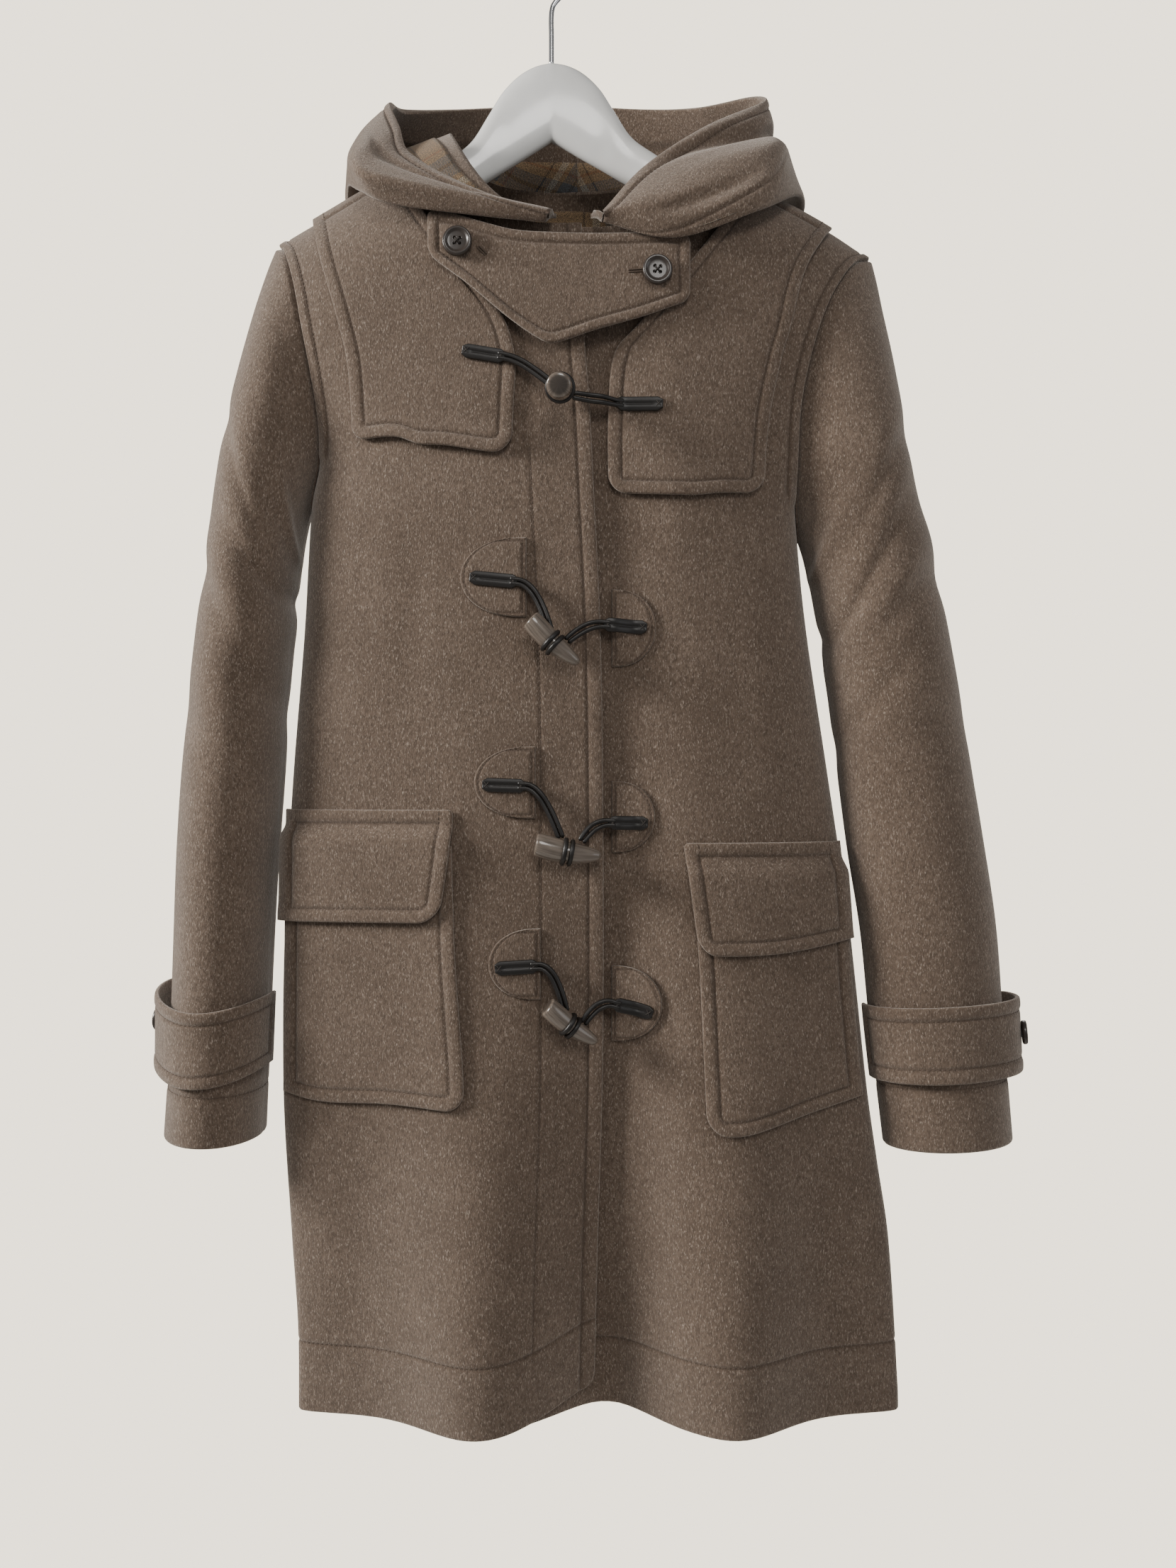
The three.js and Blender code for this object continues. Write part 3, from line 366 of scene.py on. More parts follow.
def wall_faces(columns, rows, wrap=False):
    """Faces of a wall made of an outer grid, then an inner one, closed along its edges."""
    layer = columns * rows
    outer = quads_of(columns, rows, wrap)
    faces = [outer, outer[:, ::-1] + layer]
    if wrap:
        top, bottom = np.arange(columns) * rows, np.arange(columns) * rows + rows - 1
        faces += [strip_of(top, top + layer)[:, ::-1], strip_of(bottom, bottom + layer)]
    else:
        loop = loop_of(columns, rows)
        faces.append(strip_of(loop, loop + layer)[:, ::-1])
    return np.concatenate(faces)


def volume_of(points, quads):
    """Six times the volume inside: the sum of the triple products of the halved quads."""
    a, b, c, d = (points[quads[:, k]] for k in range(4))
    return (np.einsum("ij,ij->i", a, np.cross(b, c)) + np.einsum("ij,ij->i", a, np.cross(c, d))).sum()


def mesh_of(name, points, faces, material, slot, uv=None, marks=None, added=False):
    """A smooth mesh from points in millimetres and quads, where a triangle repeats an index. It
    takes the place of the solid of its name, unless it is added to a piece."""
    points, faces = points.reshape(-1, 3), np.asarray(faces)
    if volume_of(points, faces) < 0:
        faces = faces[:, ::-1]
    data = bpy.data.meshes.new(name)
    kept = faces != np.roll(faces, -1, axis=1)
    corners = faces[kept]
    sizes = kept.sum(axis=1)
    data.vertices.add(len(points))
    data.vertices.foreach_set("co", (points * MM).astype(np.float32).ravel())
    data.loops.add(len(corners))
    data.loops.foreach_set("vertex_index", corners.astype(np.int32))
    data.polygons.add(len(faces))
    data.polygons.foreach_set("loop_start", (np.cumsum(sizes) - sizes).astype(np.int32))
    data.update(calc_edges=True)
    data.polygons.foreach_set("use_smooth", np.ones(len(data.polygons), dtype=bool))
    if uv is not None:
        loops = np.empty(len(data.loops), dtype=np.int32)
        data.loops.foreach_get("vertex_index", loops)
        layer = data.uv_layers.new(name="cut")
        layer.data.foreach_set("uv", (uv.reshape(-1, 2)[loops] * MM).astype(np.float32).ravel())
    # The marks go in an attribute: painted shade on the wool, the darker butt end on a horn
    if marks is not None:
        layer = data.attributes.new("shade_and_butt", "FLOAT", "POINT")
        layer.data.foreach_set("value", marks.ravel().astype(np.float32))
    data.update()
    piece = bpy.data.objects.new(name, data)
    bpy.context.scene.collection.objects.link(piece)
    piece.data.materials.append(material)
    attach(piece, BODY)
    if not added:
        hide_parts(name)
    return piece


def wall_of(name, outer, inner, material, slot="wool", uv=None, marks=None, inner_marks=None, wrap=False):
    """A closed wall between an outer and an inner grid of points. Both share one cut, and one set
    of marks unless the inner grid has its own."""
    points = np.concatenate([outer.reshape(-1, 3), inner.reshape(-1, 3)])
    if uv is not None:
        uv = np.concatenate([uv, uv])
    if marks is not None:
        marks = np.concatenate([marks, marks if inner_marks is None else inner_marks])
    return mesh_of(name, points, wall_faces(*outer.shape[:2], wrap), material, slot, uv, marks)


EDGE_ROLL = 1.35


def rolled(away):
    """How far a face falls in at a turned edge: a quarter round of the edge's own radius."""
    inside = np.clip(EDGE_ROLL - away, 0, EDGE_ROLL)
    return EDGE_ROLL - np.sqrt(EDGE_ROLL**2 - inside**2 * 0.98)


def stitched(away, inset, depth=0.75, width=1.25, puff=0.55):
    """Relief of a turned and stitched edge: a soft swell between the edge and the stitch line,
    and a narrow trough along the line."""
    swell = puff * np.sin(np.pi * clamp(away / inset)) ** 0.8
    return swell - depth * bell(away - inset, width)


def cloth_wall(name, base, normals, relief, roll, marks, wrap=False, settle=None):
    """A wall of wool: the outer face is the base moved by its relief, the inner one lies a
    thickness behind the base, and both fall in at the turned edges."""
    outer = base + normals * (relief - roll)[..., None]
    inner = base - normals * (CLOTH - roll)[..., None]
    if settle:
        outer, inner = settle(outer), settle(inner)
    return wall_of(name, outer, inner, WOOL, marks=marks, wrap=wrap)


# Finishes, with colours as linear red, green and blue

WOOL_DEEP, WOOL_PALE = (0.150, 0.108, 0.080, 1), (0.200, 0.147, 0.111, 1)
WOOL_SHADE, WOOL_FLECK = (0.082, 0.057, 0.041, 1), (0.40, 0.33, 0.275, 1)
# The wool colour below is painted shade, laid where the mesh is marked
WOOL_PAINTED_SHADE = (0.052, 0.034, 0.024, 1)
HORN_DARK, HORN_PALE = (0.060, 0.046, 0.036, 1), (0.27, 0.225, 0.185, 1)
HORN_CLOUD, HORN_BUTT = (0.135, 0.108, 0.088, 1), (0.030, 0.024, 0.020, 1)
TAN, BLUE, CREAM = (0.37, 0.245, 0.135, 1), (0.115, 0.135, 0.155, 1), (0.60, 0.53, 0.42, 1)
BLACK, RUST, FUZZ = (0.022, 0.019, 0.018, 1), (0.30, 0.115, 0.045, 1), (0.05, 0.04, 0.032, 1)
CHECK_REPEAT, TWILL_PITCH = 0.074, 0.0016
CHECK_STRIPES = [
    (0.0, TAN), (0.26, BLACK), (0.285, TAN), (0.36, CREAM), (0.44, TAN), (0.5, BLUE),
    (0.62, BLACK), (0.66, BLUE), (0.76, TAN), (0.84, RUST), (0.87, TAN),
]


def nodes_of(name):
    """A new material, its node tree and its shader."""
    material = bpy.data.materials.new(name)
    material.use_nodes = True
    tree = material.node_tree
    return material, tree, tree.nodes["Principled BSDF"]


def node(tree, kind, **values):
    """A new node, with its inputs or its settings given by name."""
    made = tree.nodes.new(kind)
    for key, value in values.items():
        if key in made.inputs:
            made.inputs[key].default_value = value
        else:
            setattr(made, key, value)
    return made


def feed(tree, socket, value):
    """Links a socket into another, or sets it to a plain value."""
    if hasattr(value, "is_linked"):
        tree.links.new(value, socket)
    else:
        socket.default_value = value


def mix_colour(tree, amount, first, second):
    """A colour mix. Each of the three inputs is a socket or a value."""
    mix = node(tree, "ShaderNodeMix", data_type="RGBA")
    for socket, value in ((mix.inputs[0], amount), (mix.inputs[6], first), (mix.inputs[7], second)):
        feed(tree, socket, value)
    return mix.outputs[2]


def sum_of(tree, operation, *values):
    """A sum in one operation on sockets or numbers."""
    made = node(tree, "ShaderNodeMath", operation=operation)
    for socket, value in zip(made.inputs, values):
        feed(tree, socket, value)
    return made.outputs[0]


def ramp(tree, value, low, high):
    """The share of the way of a value from low to high, held between 0 and 1."""
    span = node(tree, "ShaderNodeMapRange")
    feed(tree, span.inputs["From Min"], low)
    feed(tree, span.inputs["From Max"], high)
    feed(tree, span.inputs["Value"], value)
    return span.outputs["Result"]


def noise_at(tree, vector, scale, stretch=(1, 1, 1), detail=3.0, rough=0.6, turn=(0, 0, 0)):
    """Noise on stretched and turned coordinates."""
    place = node(tree, "ShaderNodeMapping", Scale=stretch, Rotation=turn)
    tree.links.new(vector, place.inputs["Vector"])
    grain = node(tree, "ShaderNodeTexNoise", Scale=scale, Detail=detail, Roughness=rough)
    tree.links.new(place.outputs["Vector"], grain.inputs["Vector"])
    return grain.outputs["Fac"]


def shade_and_butt_mark(tree):
    """The mesh's marks, from 0 to 1: painted shade on the wool, and the darker butt end on a horn."""
    return node(tree, "ShaderNodeAttribute", attribute_name="shade_and_butt").outputs["Fac"]


def raise_bump(tree, shader, height, strength, distance):
    """A bump from a height into a shader."""
    bump = node(tree, "ShaderNodeBump", Strength=strength, Distance=distance)
    tree.links.new(height, bump.inputs["Height"])
    tree.links.new(bump.outputs["Normal"], shader.inputs["Normal"])


def finish_with(tree, shader, colour, numbers):
    """Sets a shader's colour socket and its plain values."""
    tree.links.new(colour, shader.inputs["Base Color"])
    for socket, value in numbers.items():
        shader.inputs[socket].default_value = value


def wool_finish():
    """Napped melton: taupe-brown mottled by soft blotches, short leaning fibres as lighter flecks,
    painted shade in the troughs, edges and tucks the mesh marks, with a downy bump and sheen."""
    material, tree, shader = nodes_of("coat_wool")
    where = node(tree, "ShaderNodeTexCoord").outputs["Object"]
    blotch = noise_at(tree, where, 26, detail=2.0)
    nap = noise_at(tree, where, 640, (1, 1, 0.5), detail=5.0, rough=0.75, turn=(0, 0.35, 0))
    fleck = noise_at(tree, where, 1300, (1, 1, 0.36), detail=2.0, rough=0.55, turn=(0, -0.5, 0))
    colour = mix_colour(tree, ramp(tree, blotch, 0.3, 0.7), WOOL_DEEP, WOOL_PALE)
    colour = mix_colour(tree, ramp(tree, nap, 0.36, 0.66), WOOL_SHADE, colour)
    colour = mix_colour(tree, ramp(tree, fleck, 0.55, 0.8), colour, WOOL_FLECK)
    # Painted shade where the mesh is marked
    colour = mix_colour(tree, shade_and_butt_mark(tree), colour, WOOL_PAINTED_SHADE)
    raise_bump(tree, shader, sum_of(tree, "ADD", nap, fleck), 0.55, 0.0009)
    finish_with(tree, shader, colour, {
        "Roughness": 0.96, "Specular IOR Level": 0.12, "Sheen Weight": 0.6, "Sheen Roughness": 0.5,
        "Sheen Tint": (0.92, 0.86, 0.80, 1),
    })
    return material


def plain_finish(name, colour, roughness, metallic=0.0, coat=0.0, grain=300, depth=0.0002):
    """A moulded or polished finish with a faint mottle in its colour and a faint bump."""
    material, tree, shader = nodes_of(name)
    where = node(tree, "ShaderNodeTexCoord").outputs["Object"]
    mottle = noise_at(tree, where, grain)
    darker = tuple(0.82 * c for c in colour[:3]) + (1,)
    mottled = mix_colour(tree, ramp(tree, mottle, 0.3, 0.7), darker, colour)
    raise_bump(tree, shader, mottle, 0.3, depth)
    finish_with(tree, shader, mottled, {
        "Roughness": roughness, "Metallic": metallic, "Coat Weight": coat, "Coat Roughness": 0.1,
    })
    return material


def horn_finish():
    """Polished horn: grey-brown with lighter and darker streaks along its length."""
    material, tree, shader = nodes_of("toggle_horn")
    where = node(tree, "ShaderNodeUVMap", uv_map="cut").outputs["UV"]
    streak = noise_at(tree, where, 160, (2.4, 0.16, 1), detail=4.0, rough=0.65)
    cloud = noise_at(tree, where, 60, (1, 0.5, 1), detail=2.0)
    colour = mix_colour(tree, ramp(tree, streak, 0.34, 0.68), HORN_DARK, HORN_PALE)
    colour = mix_colour(tree, ramp(tree, cloud, 0.35, 0.7), colour, HORN_CLOUD)
    colour = mix_colour(tree, shade_and_butt_mark(tree), colour, HORN_BUTT)
    finish_with(tree, shader, colour, {"Roughness": 0.22, "Coat Weight": 0.5, "Coat Roughness": 0.08})
    return material


def striped(tree, along):
    """The check's colour for each place along one direction: its stripes are shares of a repeat."""
    part = sum_of(tree, "FRACT", sum_of(tree, "DIVIDE", along, CHECK_REPEAT))
    band = node(tree, "ShaderNodeValToRGB")
    band.color_ramp.interpolation = "CONSTANT"
    points = band.color_ramp.elements
    for at, colour in CHECK_STRIPES[1:-1]:
        points.new(at).color = colour
    points[0].position, points[0].color = CHECK_STRIPES[0]
    points[len(points) - 1].position, points[len(points) - 1].color = CHECK_STRIPES[-1]
    tree.links.new(part, band.inputs["Fac"])
    return band.outputs["Color"]


def check_finish():
    """Woven check: the same stripes run both ways and a fine diagonal twill mixes the two."""
    material, tree, shader = nodes_of("hood_check")
    where = node(tree, "ShaderNodeUVMap", uv_map="cut").outputs["UV"]
    split = node(tree, "ShaderNodeSeparateXYZ")
    tree.links.new(where, split.inputs[0])
    across, down = split.outputs["X"], split.outputs["Y"]
    lean = sum_of(tree, "ADD", across, down)
    wave = sum_of(tree, "SINE", sum_of(tree, "MULTIPLY", lean, 2 * math.pi / TWILL_PITCH))
    over = ramp(tree, wave, -0.7, 0.7)
    fuzz = noise_at(tree, where, 900)
    colour = mix_colour(tree, over, striped(tree, across), striped(tree, down))
    colour = mix_colour(tree, ramp(tree, fuzz, 0.3, 0.75), FUZZ, colour)
    raise_bump(tree, shader, over, 0.4, 0.0004)
    finish_with(tree, shader, colour, {
        "Roughness": 0.95, "Specular IOR Level": 0.15, "Sheen Weight": 0.25,
    })
    return material


WOOL, HORN, CHECK = wool_finish(), horn_finish(), check_finish()
LEATHER = plain_finish("strap_leather", (0.012, 0.010, 0.009, 1), 0.42, grain=420)
BUTTON = plain_finish("coat_button", (0.035, 0.026, 0.021, 1), 0.35, coat=0.3)
WHITE = plain_finish("hanger_white", (0.93, 0.93, 0.91, 1), 0.18, coat=0.6, grain=14, depth=0.00003)
CHROME = plain_finish("hook_wire", (0.62, 0.63, 0.65, 1), 0.16, metallic=1.0, grain=60, depth=0.00002)
THREAD = plain_finish("coat_thread", (0.105, 0.075, 0.055, 1), 0.8, grain=900)
DARK_THREAD = plain_finish("strap_thread", (0.030, 0.024, 0.020, 1), 0.75, grain=900)


# Stitches

STITCH_PITCH = 3.4
STITCH_LENGTH = 2.5
STITCH_RADIUS = 0.3
# Each piece's lines of stitches: middles, half lengths, outward directions and radius
SEWN = {}


def sew(name, line, out, pitch=STITCH_PITCH, length=STITCH_LENGTH, radius=STITCH_RADIUS):
    """Stitches at even steps along a line of points, lying in their trough and facing out."""
    run = run_of(line)
    middle = np.arange(pitch, run[-1] - pitch / 2, pitch)
    at = lambda values, places: np.stack([np.interp(places, run, v) for v in values.T], axis=-1)
    along = unit(at(line, middle + 0.5) - at(line, middle - 0.5))
    up = unit(at(out, middle))
    SEWN.setdefault(name, []).append((at(line, middle) + up * 0.12, along * length / 2, up, radius))


def beads(middle, along, up, radius):
    """Small spindles: each has three rings of six between two ends, at the given half length
    and radius."""
    side = unit(np.cross(up, along))
    turn = np.arange(6) * np.pi / 3
    share = np.array([-0.62, 0, 0.62])
    wide = np.array([0.8, 1.0, 0.8]) * radius
    ring = np.cos(turn)[:, None] * side[:, None, None] + np.sin(turn)[:, None] * up[:, None, None]
    share, wide = share[:, None, None], wide[:, None, None]
    rings = middle[:, None, None] + share * along[:, None, None] + wide * ring
    ends = middle[:, None] + np.array([-1, 1])[:, None] * along[:, None]
    points = np.concatenate([rings.reshape(len(middle), 18, 3), ends], axis=1)
    k, n = np.arange(6), (np.arange(6) + 1) % 6
    near, far = np.full(6, 18), np.full(6, 19)
    faces = np.concatenate([
        np.stack([k, n, n + 6, k + 6], -1), np.stack([k + 6, n + 6, n + 12, k + 12], -1),
        np.stack([n, k, near, near], -1), np.stack([k + 12, n + 12, far, far], -1),
    ])
    offsets = 20 * np.arange(len(middle))[:, None, None]
    return points.reshape(-1, 3), (faces[None] + offsets).reshape(-1, 4)


def joined(parts):
    """One set of points and faces from several, each turned to face outwards."""
    points, faces, count = [], [], 0
    for some, quads in parts:
        quads = quads[:, ::-1] if volume_of(some, quads) < 0 else quads
        points.append(some)
        faces.append(quads + count)
        count += len(some)
    return np.concatenate(points), np.concatenate(faces)


# Body panels

NEAR_SIDE = 14 * (np.arange(23) / 22) ** 2.5
NEAR_EDGE = [0, 0.15, 0.5, 1, 1.7, 3, 4.6, 6.2, 7.8, 9, 9.7, 10.4, 11.1, 12, 13.4, 16]
FRONT_NEAR = NEAR_EDGE + [22, 30, 37, 40, 41.6, 42.6, 43.4, 44.2, 45.2, 47, 50]
HEM_NEAR = [0, 0.15, 0.5, 1, 1.7, 3, 6, 12, 20, 29, 38, 43, 45.6, 46.8, 47.6, 48.4, 49.2, 50.4, 53, 58]
TOP_NEAR = [0, 0.05, 0.2]
WELT = 7.5
WELT_END, BACK_WELT_END = {-1: -377, 1: -407}, -392
FACING = 43.4
FACING_TOP, FACING_FOOT = -372, -1012
HEM_STITCH = 48.0
EDGE_STITCH = 10.4
EDGE_COLUMN = FRONT_NEAR.index(EDGE_STITCH)
FACING_COLUMN = FRONT_NEAR.index(FACING) + 1
WELT_COLUMN = int(np.argmin(np.abs(NEAR_SIDE - WELT)))
FRONT_COLUMNS, BACK_COLUMNS, PANEL_ROWS, ROW_CROWD = 44, 60, 150, 0.9
MIDDLE_COLUMN = 60
SEAM_REACH, RIDGE_REACH = 24, 12
SEAM_MEETS, SEAM_OVERLAP = 1.6, 0.35


def row_share(v):
    """Shares of the rows down a panel, crowded at its top."""
    return (1 + ROW_CROWD) * v * v / (ROW_CROWD + v)


def panel_places(half, start, end, across, down, radii, hem):
    """Places of a body panel: x is a share between its two edges plus millimetres, and z a
    share between the top edge and the hem plus millimetres."""
    p, m, q, n, away = rounded_grid(across, down, radii)
    inward = np.sign(end(HEM_Z) - start(HEM_Z)) * m
    top_x = lerp(start(0 * p), end(0 * p), p) + inward
    z = lerp(top_z(half, top_x), hem(top_x), q) - n
    x = lerp(start(z), end(z), p) + inward
    side = np.where(p == 0, m, FAR)
    hem_up = z - hem(top_x)
    return x, z, side, np.where(p == 1, -m, FAR), hem_up, away


def left_side(z):
    """X of the left side edge."""
    return side_x(-1, z)


def right_side(z):
    """X of the right side edge."""
    return side_x(1, z)


def keep_half(half, edges):
    """Keeps a layer, near the side seams and the shoulder seam, on its own side of them, and
    draws its side edges onto the side seams where it meets them."""
    def settle(points):
        x, z = points[..., 0], points[..., 2]
        seam = depth_at("side", z) + half * SEAM * 0.5
        limit = np.minimum if half < 0 else np.maximum
        near = (x < left_side(z) + SEAM_REACH) | (x > right_side(z) - SEAM_REACH)
        near |= ridge_z(x) - z < RIDGE_REACH
        points[..., 1] = np.where(near, limit(points[..., 1], seam), points[..., 1])
        for edge in edges:
            met = np.abs(points[edge, :, 1] - seam[edge]) < SEAM_MEETS
            points[edge, :, 1] = np.where(met, seam[edge] - half * SEAM_OVERLAP, points[edge, :, 1])
        return points
    return settle


def front_panel(name, side, start, end, hem, radii, lapping):
    """A front: its side edge, welted at the armhole, runs down the side seam, and its centre
    edge is turned and stitched, with the facing's and the hem's stitch lines inside it."""
    across = spaced(NEAR_SIDE, FRONT_NEAR if lapping else NEAR_EDGE, FRONT_COLUMNS)
    down = spaced(TOP_NEAR, HEM_NEAR, PANEL_ROWS, row_share)
    x, z, from_side, from_edge, hem_up, away = panel_places(-1, start, end, across, down, radii, hem)
    y = face_y(-1, x, z) - SEAM * 0.5
    if not lapping:
        y = y + under_lap(x, z)
    base = stack(x, y, z)
    normals = grid_normals(base, -side)
    normals *= np.sign(-normals[..., 1:2].mean())
    welt_end = WELT_END[side]
    welt = smooth((z - welt_end) / 6 + 0.5)
    trough = 0.8 * bell(from_side - WELT, 1.2) * welt + 0.5 * bell(from_side, 1.4) * (1 - welt)
    facing_on = smooth((z - FACING_FOOT) / 10) * smooth((FACING_TOP - z) / 10)
    if lapping:
        trough = trough + 0.7 * bell(from_edge - EDGE_STITCH, 1.2)
        trough = trough + 0.45 * bell(from_edge - FACING, 1.0) * facing_on
    trough = trough + 0.6 * bell(hem_up - HEM_STITCH, 1.2)
    relief = 0.9 * welt * smooth((WELT + 1 - from_side) / 2) - trough
    if lapping:
        relief = relief + 0.6 * np.sin(np.pi * clamp(from_edge / EDGE_STITCH)) ** 0.8
    turned = np.minimum(np.minimum(from_edge, hem_up), away)
    roll = rolled(np.maximum(turned, 0))
    # Painted shade along the welt, edge, facing and hem stitch troughs
    marks = np.clip(trough * 0.8, 0, 0.55)
    outer = base + normals * relief[..., None]
    columns, rows = np.arange(base.shape[0]), np.arange(base.shape[1])
    hem_row = int(np.argmin(np.abs(hem_up[MIDDLE_COLUMN] - HEM_STITCH)))
    columns = columns[:-FACING_COLUMN if lapping else -12]
    sew(name, outer[columns, hem_row], normals[columns, hem_row])
    if lapping:
        edge_column = base.shape[0] - 1 - EDGE_COLUMN
        sew(name, outer[edge_column, rows[:-6]], normals[edge_column, rows[:-6]])
        low = rows[(z[-FACING_COLUMN] < FACING_TOP) & (z[-FACING_COLUMN] > FACING_FOOT + 6)]
        sew(name, outer[-FACING_COLUMN, low], normals[-FACING_COLUMN, low])
    welted = rows[(z[WELT_COLUMN] > welt_end) & (z[WELT_COLUMN] < z[WELT_COLUMN].max() - 3)]
    sew(name, outer[WELT_COLUMN, welted], normals[WELT_COLUMN, welted])
    return cloth_wall(name, base, normals, relief, roll, marks, settle=keep_half(-1, [0]))


def under_edge(z):
    """X of the under front's edge, a lap's width behind the lapping one's."""
    return edge_x(z) - read(LAP, "z", "width", z)


def level(value):
    """An edge that keeps one value all along."""
    return lambda at: value + 0 * at


front_panel("front_left_panel", -1, left_side, edge_x, lapping_hem, (0, 0, 0, 9), True)
front_panel("front_right_panel", 1, right_side, under_edge, level(HEM_Z), (0, 0, 0, 0), False)


def back_panel():
    """The back, in one piece between the side seams, with the hem's stitch line."""
    across = spaced(NEAR_SIDE, NEAR_SIDE, BACK_COLUMNS)
    down = spaced(TOP_NEAR, HEM_NEAR, PANEL_ROWS, row_share)
    places = panel_places(1, left_side, right_side, across, down, (0, 0, 0, 0), level(HEM_Z))
    x, z, from_left, from_right, hem_up, _ = places
    base = stack(x, face_y(1, x, z) + SEAM * 0.5, z)
    normals = grid_normals(base, 1)
    normals *= np.sign(normals[..., 1:2].mean())
    from_side = np.minimum(from_left, from_right)
    welt = smooth((z - BACK_WELT_END) / 6 + 0.5)
    trough = 0.8 * bell(from_side - WELT, 1.2) * welt + 0.6 * bell(hem_up - HEM_STITCH, 1.2)
    relief = 0.9 * welt * smooth((WELT + 1 - from_side) / 2) - trough
    roll = rolled(np.maximum(hem_up, 0))
    # Painted shade along the welt and hem stitch troughs
    marks = np.clip(trough * 0.8, 0, 0.55)
    outer = base + normals * relief[..., None]
    hem_row = int(np.argmin(np.abs(hem_up[MIDDLE_COLUMN] - HEM_STITCH)))
    sew("back_panel", outer[3:-3, hem_row], normals[3:-3, hem_row])
    for column in (WELT_COLUMN, base.shape[0] - 1 - WELT_COLUMN):
        welted = np.flatnonzero((z[column] > BACK_WELT_END) & (z[column] < z[column].max() - 3))
        sew("back_panel", outer[column, welted], normals[column, welted])
    return cloth_wall("back_panel", base, normals, relief, roll, marks, settle=keep_half(1, [0, -1]))


back_panel()

# Sleeves

SLEEVE_COLUMNS = "along outX outZ inX inZ midY halfY keep"
LEFT_SLEEVE = table(SLEEVE_COLUMNS, [
    [0, -199.5, -217, -176, -410, 0, 42, 1], [1, -207, -236, -179.5, -421, 0, 44, 0.85],
    [2, -215, -262, -181.5, -432, -1, 46, 0.5], [3, -225, -300, -183.5, -446, -2, 47, 0.2],
    [4, -235, -345, -185.5, -464, -3, 47, 0], [5, -243, -395, -187.5, -488, -4, 47, 0],
    [6, -249.5, -446, -190, -520, -5, 47, 0], [7, -256.5, -505, -192.5, -560, -7, 47, 0],
    [8, -263, -570, -195, -610, -9, 47, 0], [9, -268, -650, -199, -672, -11, 46, 0],
    [10, -270, -725, -202, -735, -13, 46, 0], [11, -272, -795, -204.5, -800, -14, 46, 0],
    [12, -276, -862, -207, -865, -15, 46, 0],
])
RIGHT_SLEEVE = table(SLEEVE_COLUMNS, [
    [0, 233.6, -226, 181, -435, 0, 42, 1], [1, 238, -244, 184.5, -445, 0, 44, 0.85],
    [2, 242, -265, 187, -455, -1, 45, 0.5], [3, 249.5, -302, 190, -468, -2, 46, 0.2],
    [4, 257, -346, 193, -485, -3, 46, 0], [5, 266, -400, 197, -508, -4, 45, 0],
    [6, 278, -442, 201, -538, -5, 43, 0], [7, 288, -500, 205, -575, -8, 41, 0],
    [8, 299, -565, 209.5, -615, -10, 39, 0], [9, 310, -640, 215, -662, -13, 37, 0],
    [10, 320, -712, 223.5, -720, -16, 35, 0], [11, 325, -785, 230, -790, -18, 33, 0],
    [12, 331, -867, 239, -871, -20, 32, 0],
])
# Creases of a sleeve: middle and half length round it and down it, and height
SLEEVE_CREASES = table("u v halfU halfV slant lift", [
    [0.14, 0.34, 0.16, 0.022, 0.10, -2.6], [0.30, 0.42, 0.15, 0.020, -0.12, -2.4],
    [0.12, 0.52, 0.17, 0.024, 0.14, -3.0], [0.34, 0.58, 0.13, 0.020, -0.10, -2.2],
    [0.16, 0.66, 0.14, 0.022, 0.10, -2.0], [0.62, 0.40, 0.15, 0.024, 0.12, -2.6],
    [0.82, 0.50, 0.16, 0.022, -0.12, -2.8], [0.66, 0.60, 0.15, 0.024, 0.10, -2.4],
    [0.88, 0.70, 0.13, 0.022, -0.08, -2.0], [0.40, 0.24, 0.10, 0.030, 0.20, 2.4],
    [0.24, 0.48, 0.16, 0.030, -0.06, 2.0], [0.74, 0.46, 0.16, 0.030, 0.06, 2.0],
])


def sleeve_ring(rows, side, u, v):
    """A point of a sleeve: an oval ring between its outer and inner end, which near the
    shoulder takes over the armhole's own curve."""
    last = rows["along"][-1]
    value = {name: read(rows, "along", name, v * last) for name in rows}
    turn = u * 2 * np.pi
    share = (1 + np.cos(turn)) / 2
    x = lerp(value["inX"], value["outX"], share)
    y = value["midY"] - value["halfY"] * np.sin(turn)
    z = lerp(value["inZ"], value["outZ"], share)
    head_z = lerp(rows["inZ"][0], rows["outZ"][0], share)
    half = np.where(np.sin(turn) >= 0, -1, 1)
    armhole = side_x(side, head_z)
    straight = lerp(rows["inX"][0], rows["outX"][0], share)
    plain = -rows["halfY"][0] * np.sin(turn)
    x = x + (armhole - straight) * value["keep"] + side * ARMHOLE_SEAM
    y = y + (face_y(half, armhole, head_z) - plain) * value["keep"]
    return stack(x, y, z)


def sleeve_creases(u, v, mirror):
    """Sum of slanting bells round and down a sleeve."""
    total = np.zeros(np.broadcast(u, v).shape)
    for at_u, at_v, half_u, half_v, slant, lift in zip(*SLEEVE_CREASES.values()):
        around = (u - at_u + 0.5) % 1 - 0.5
        down = v - at_v - mirror * slant * around
        total += lift * bell(around, half_u) * bell(down, half_v)
    return total


CUFF_STITCH = 25.0
NEAR_CUFF = np.array([0, 0.15, 0.5, 1, 1.7, 3, 7, 13, 19, 22.5, 24, 24.9, 25.7, 26.6, 28.5, 33])
SLEEVE_LENGTH = 560.0
SLEEVE_SIDES, SLEEVE_ROWS = 96, 130


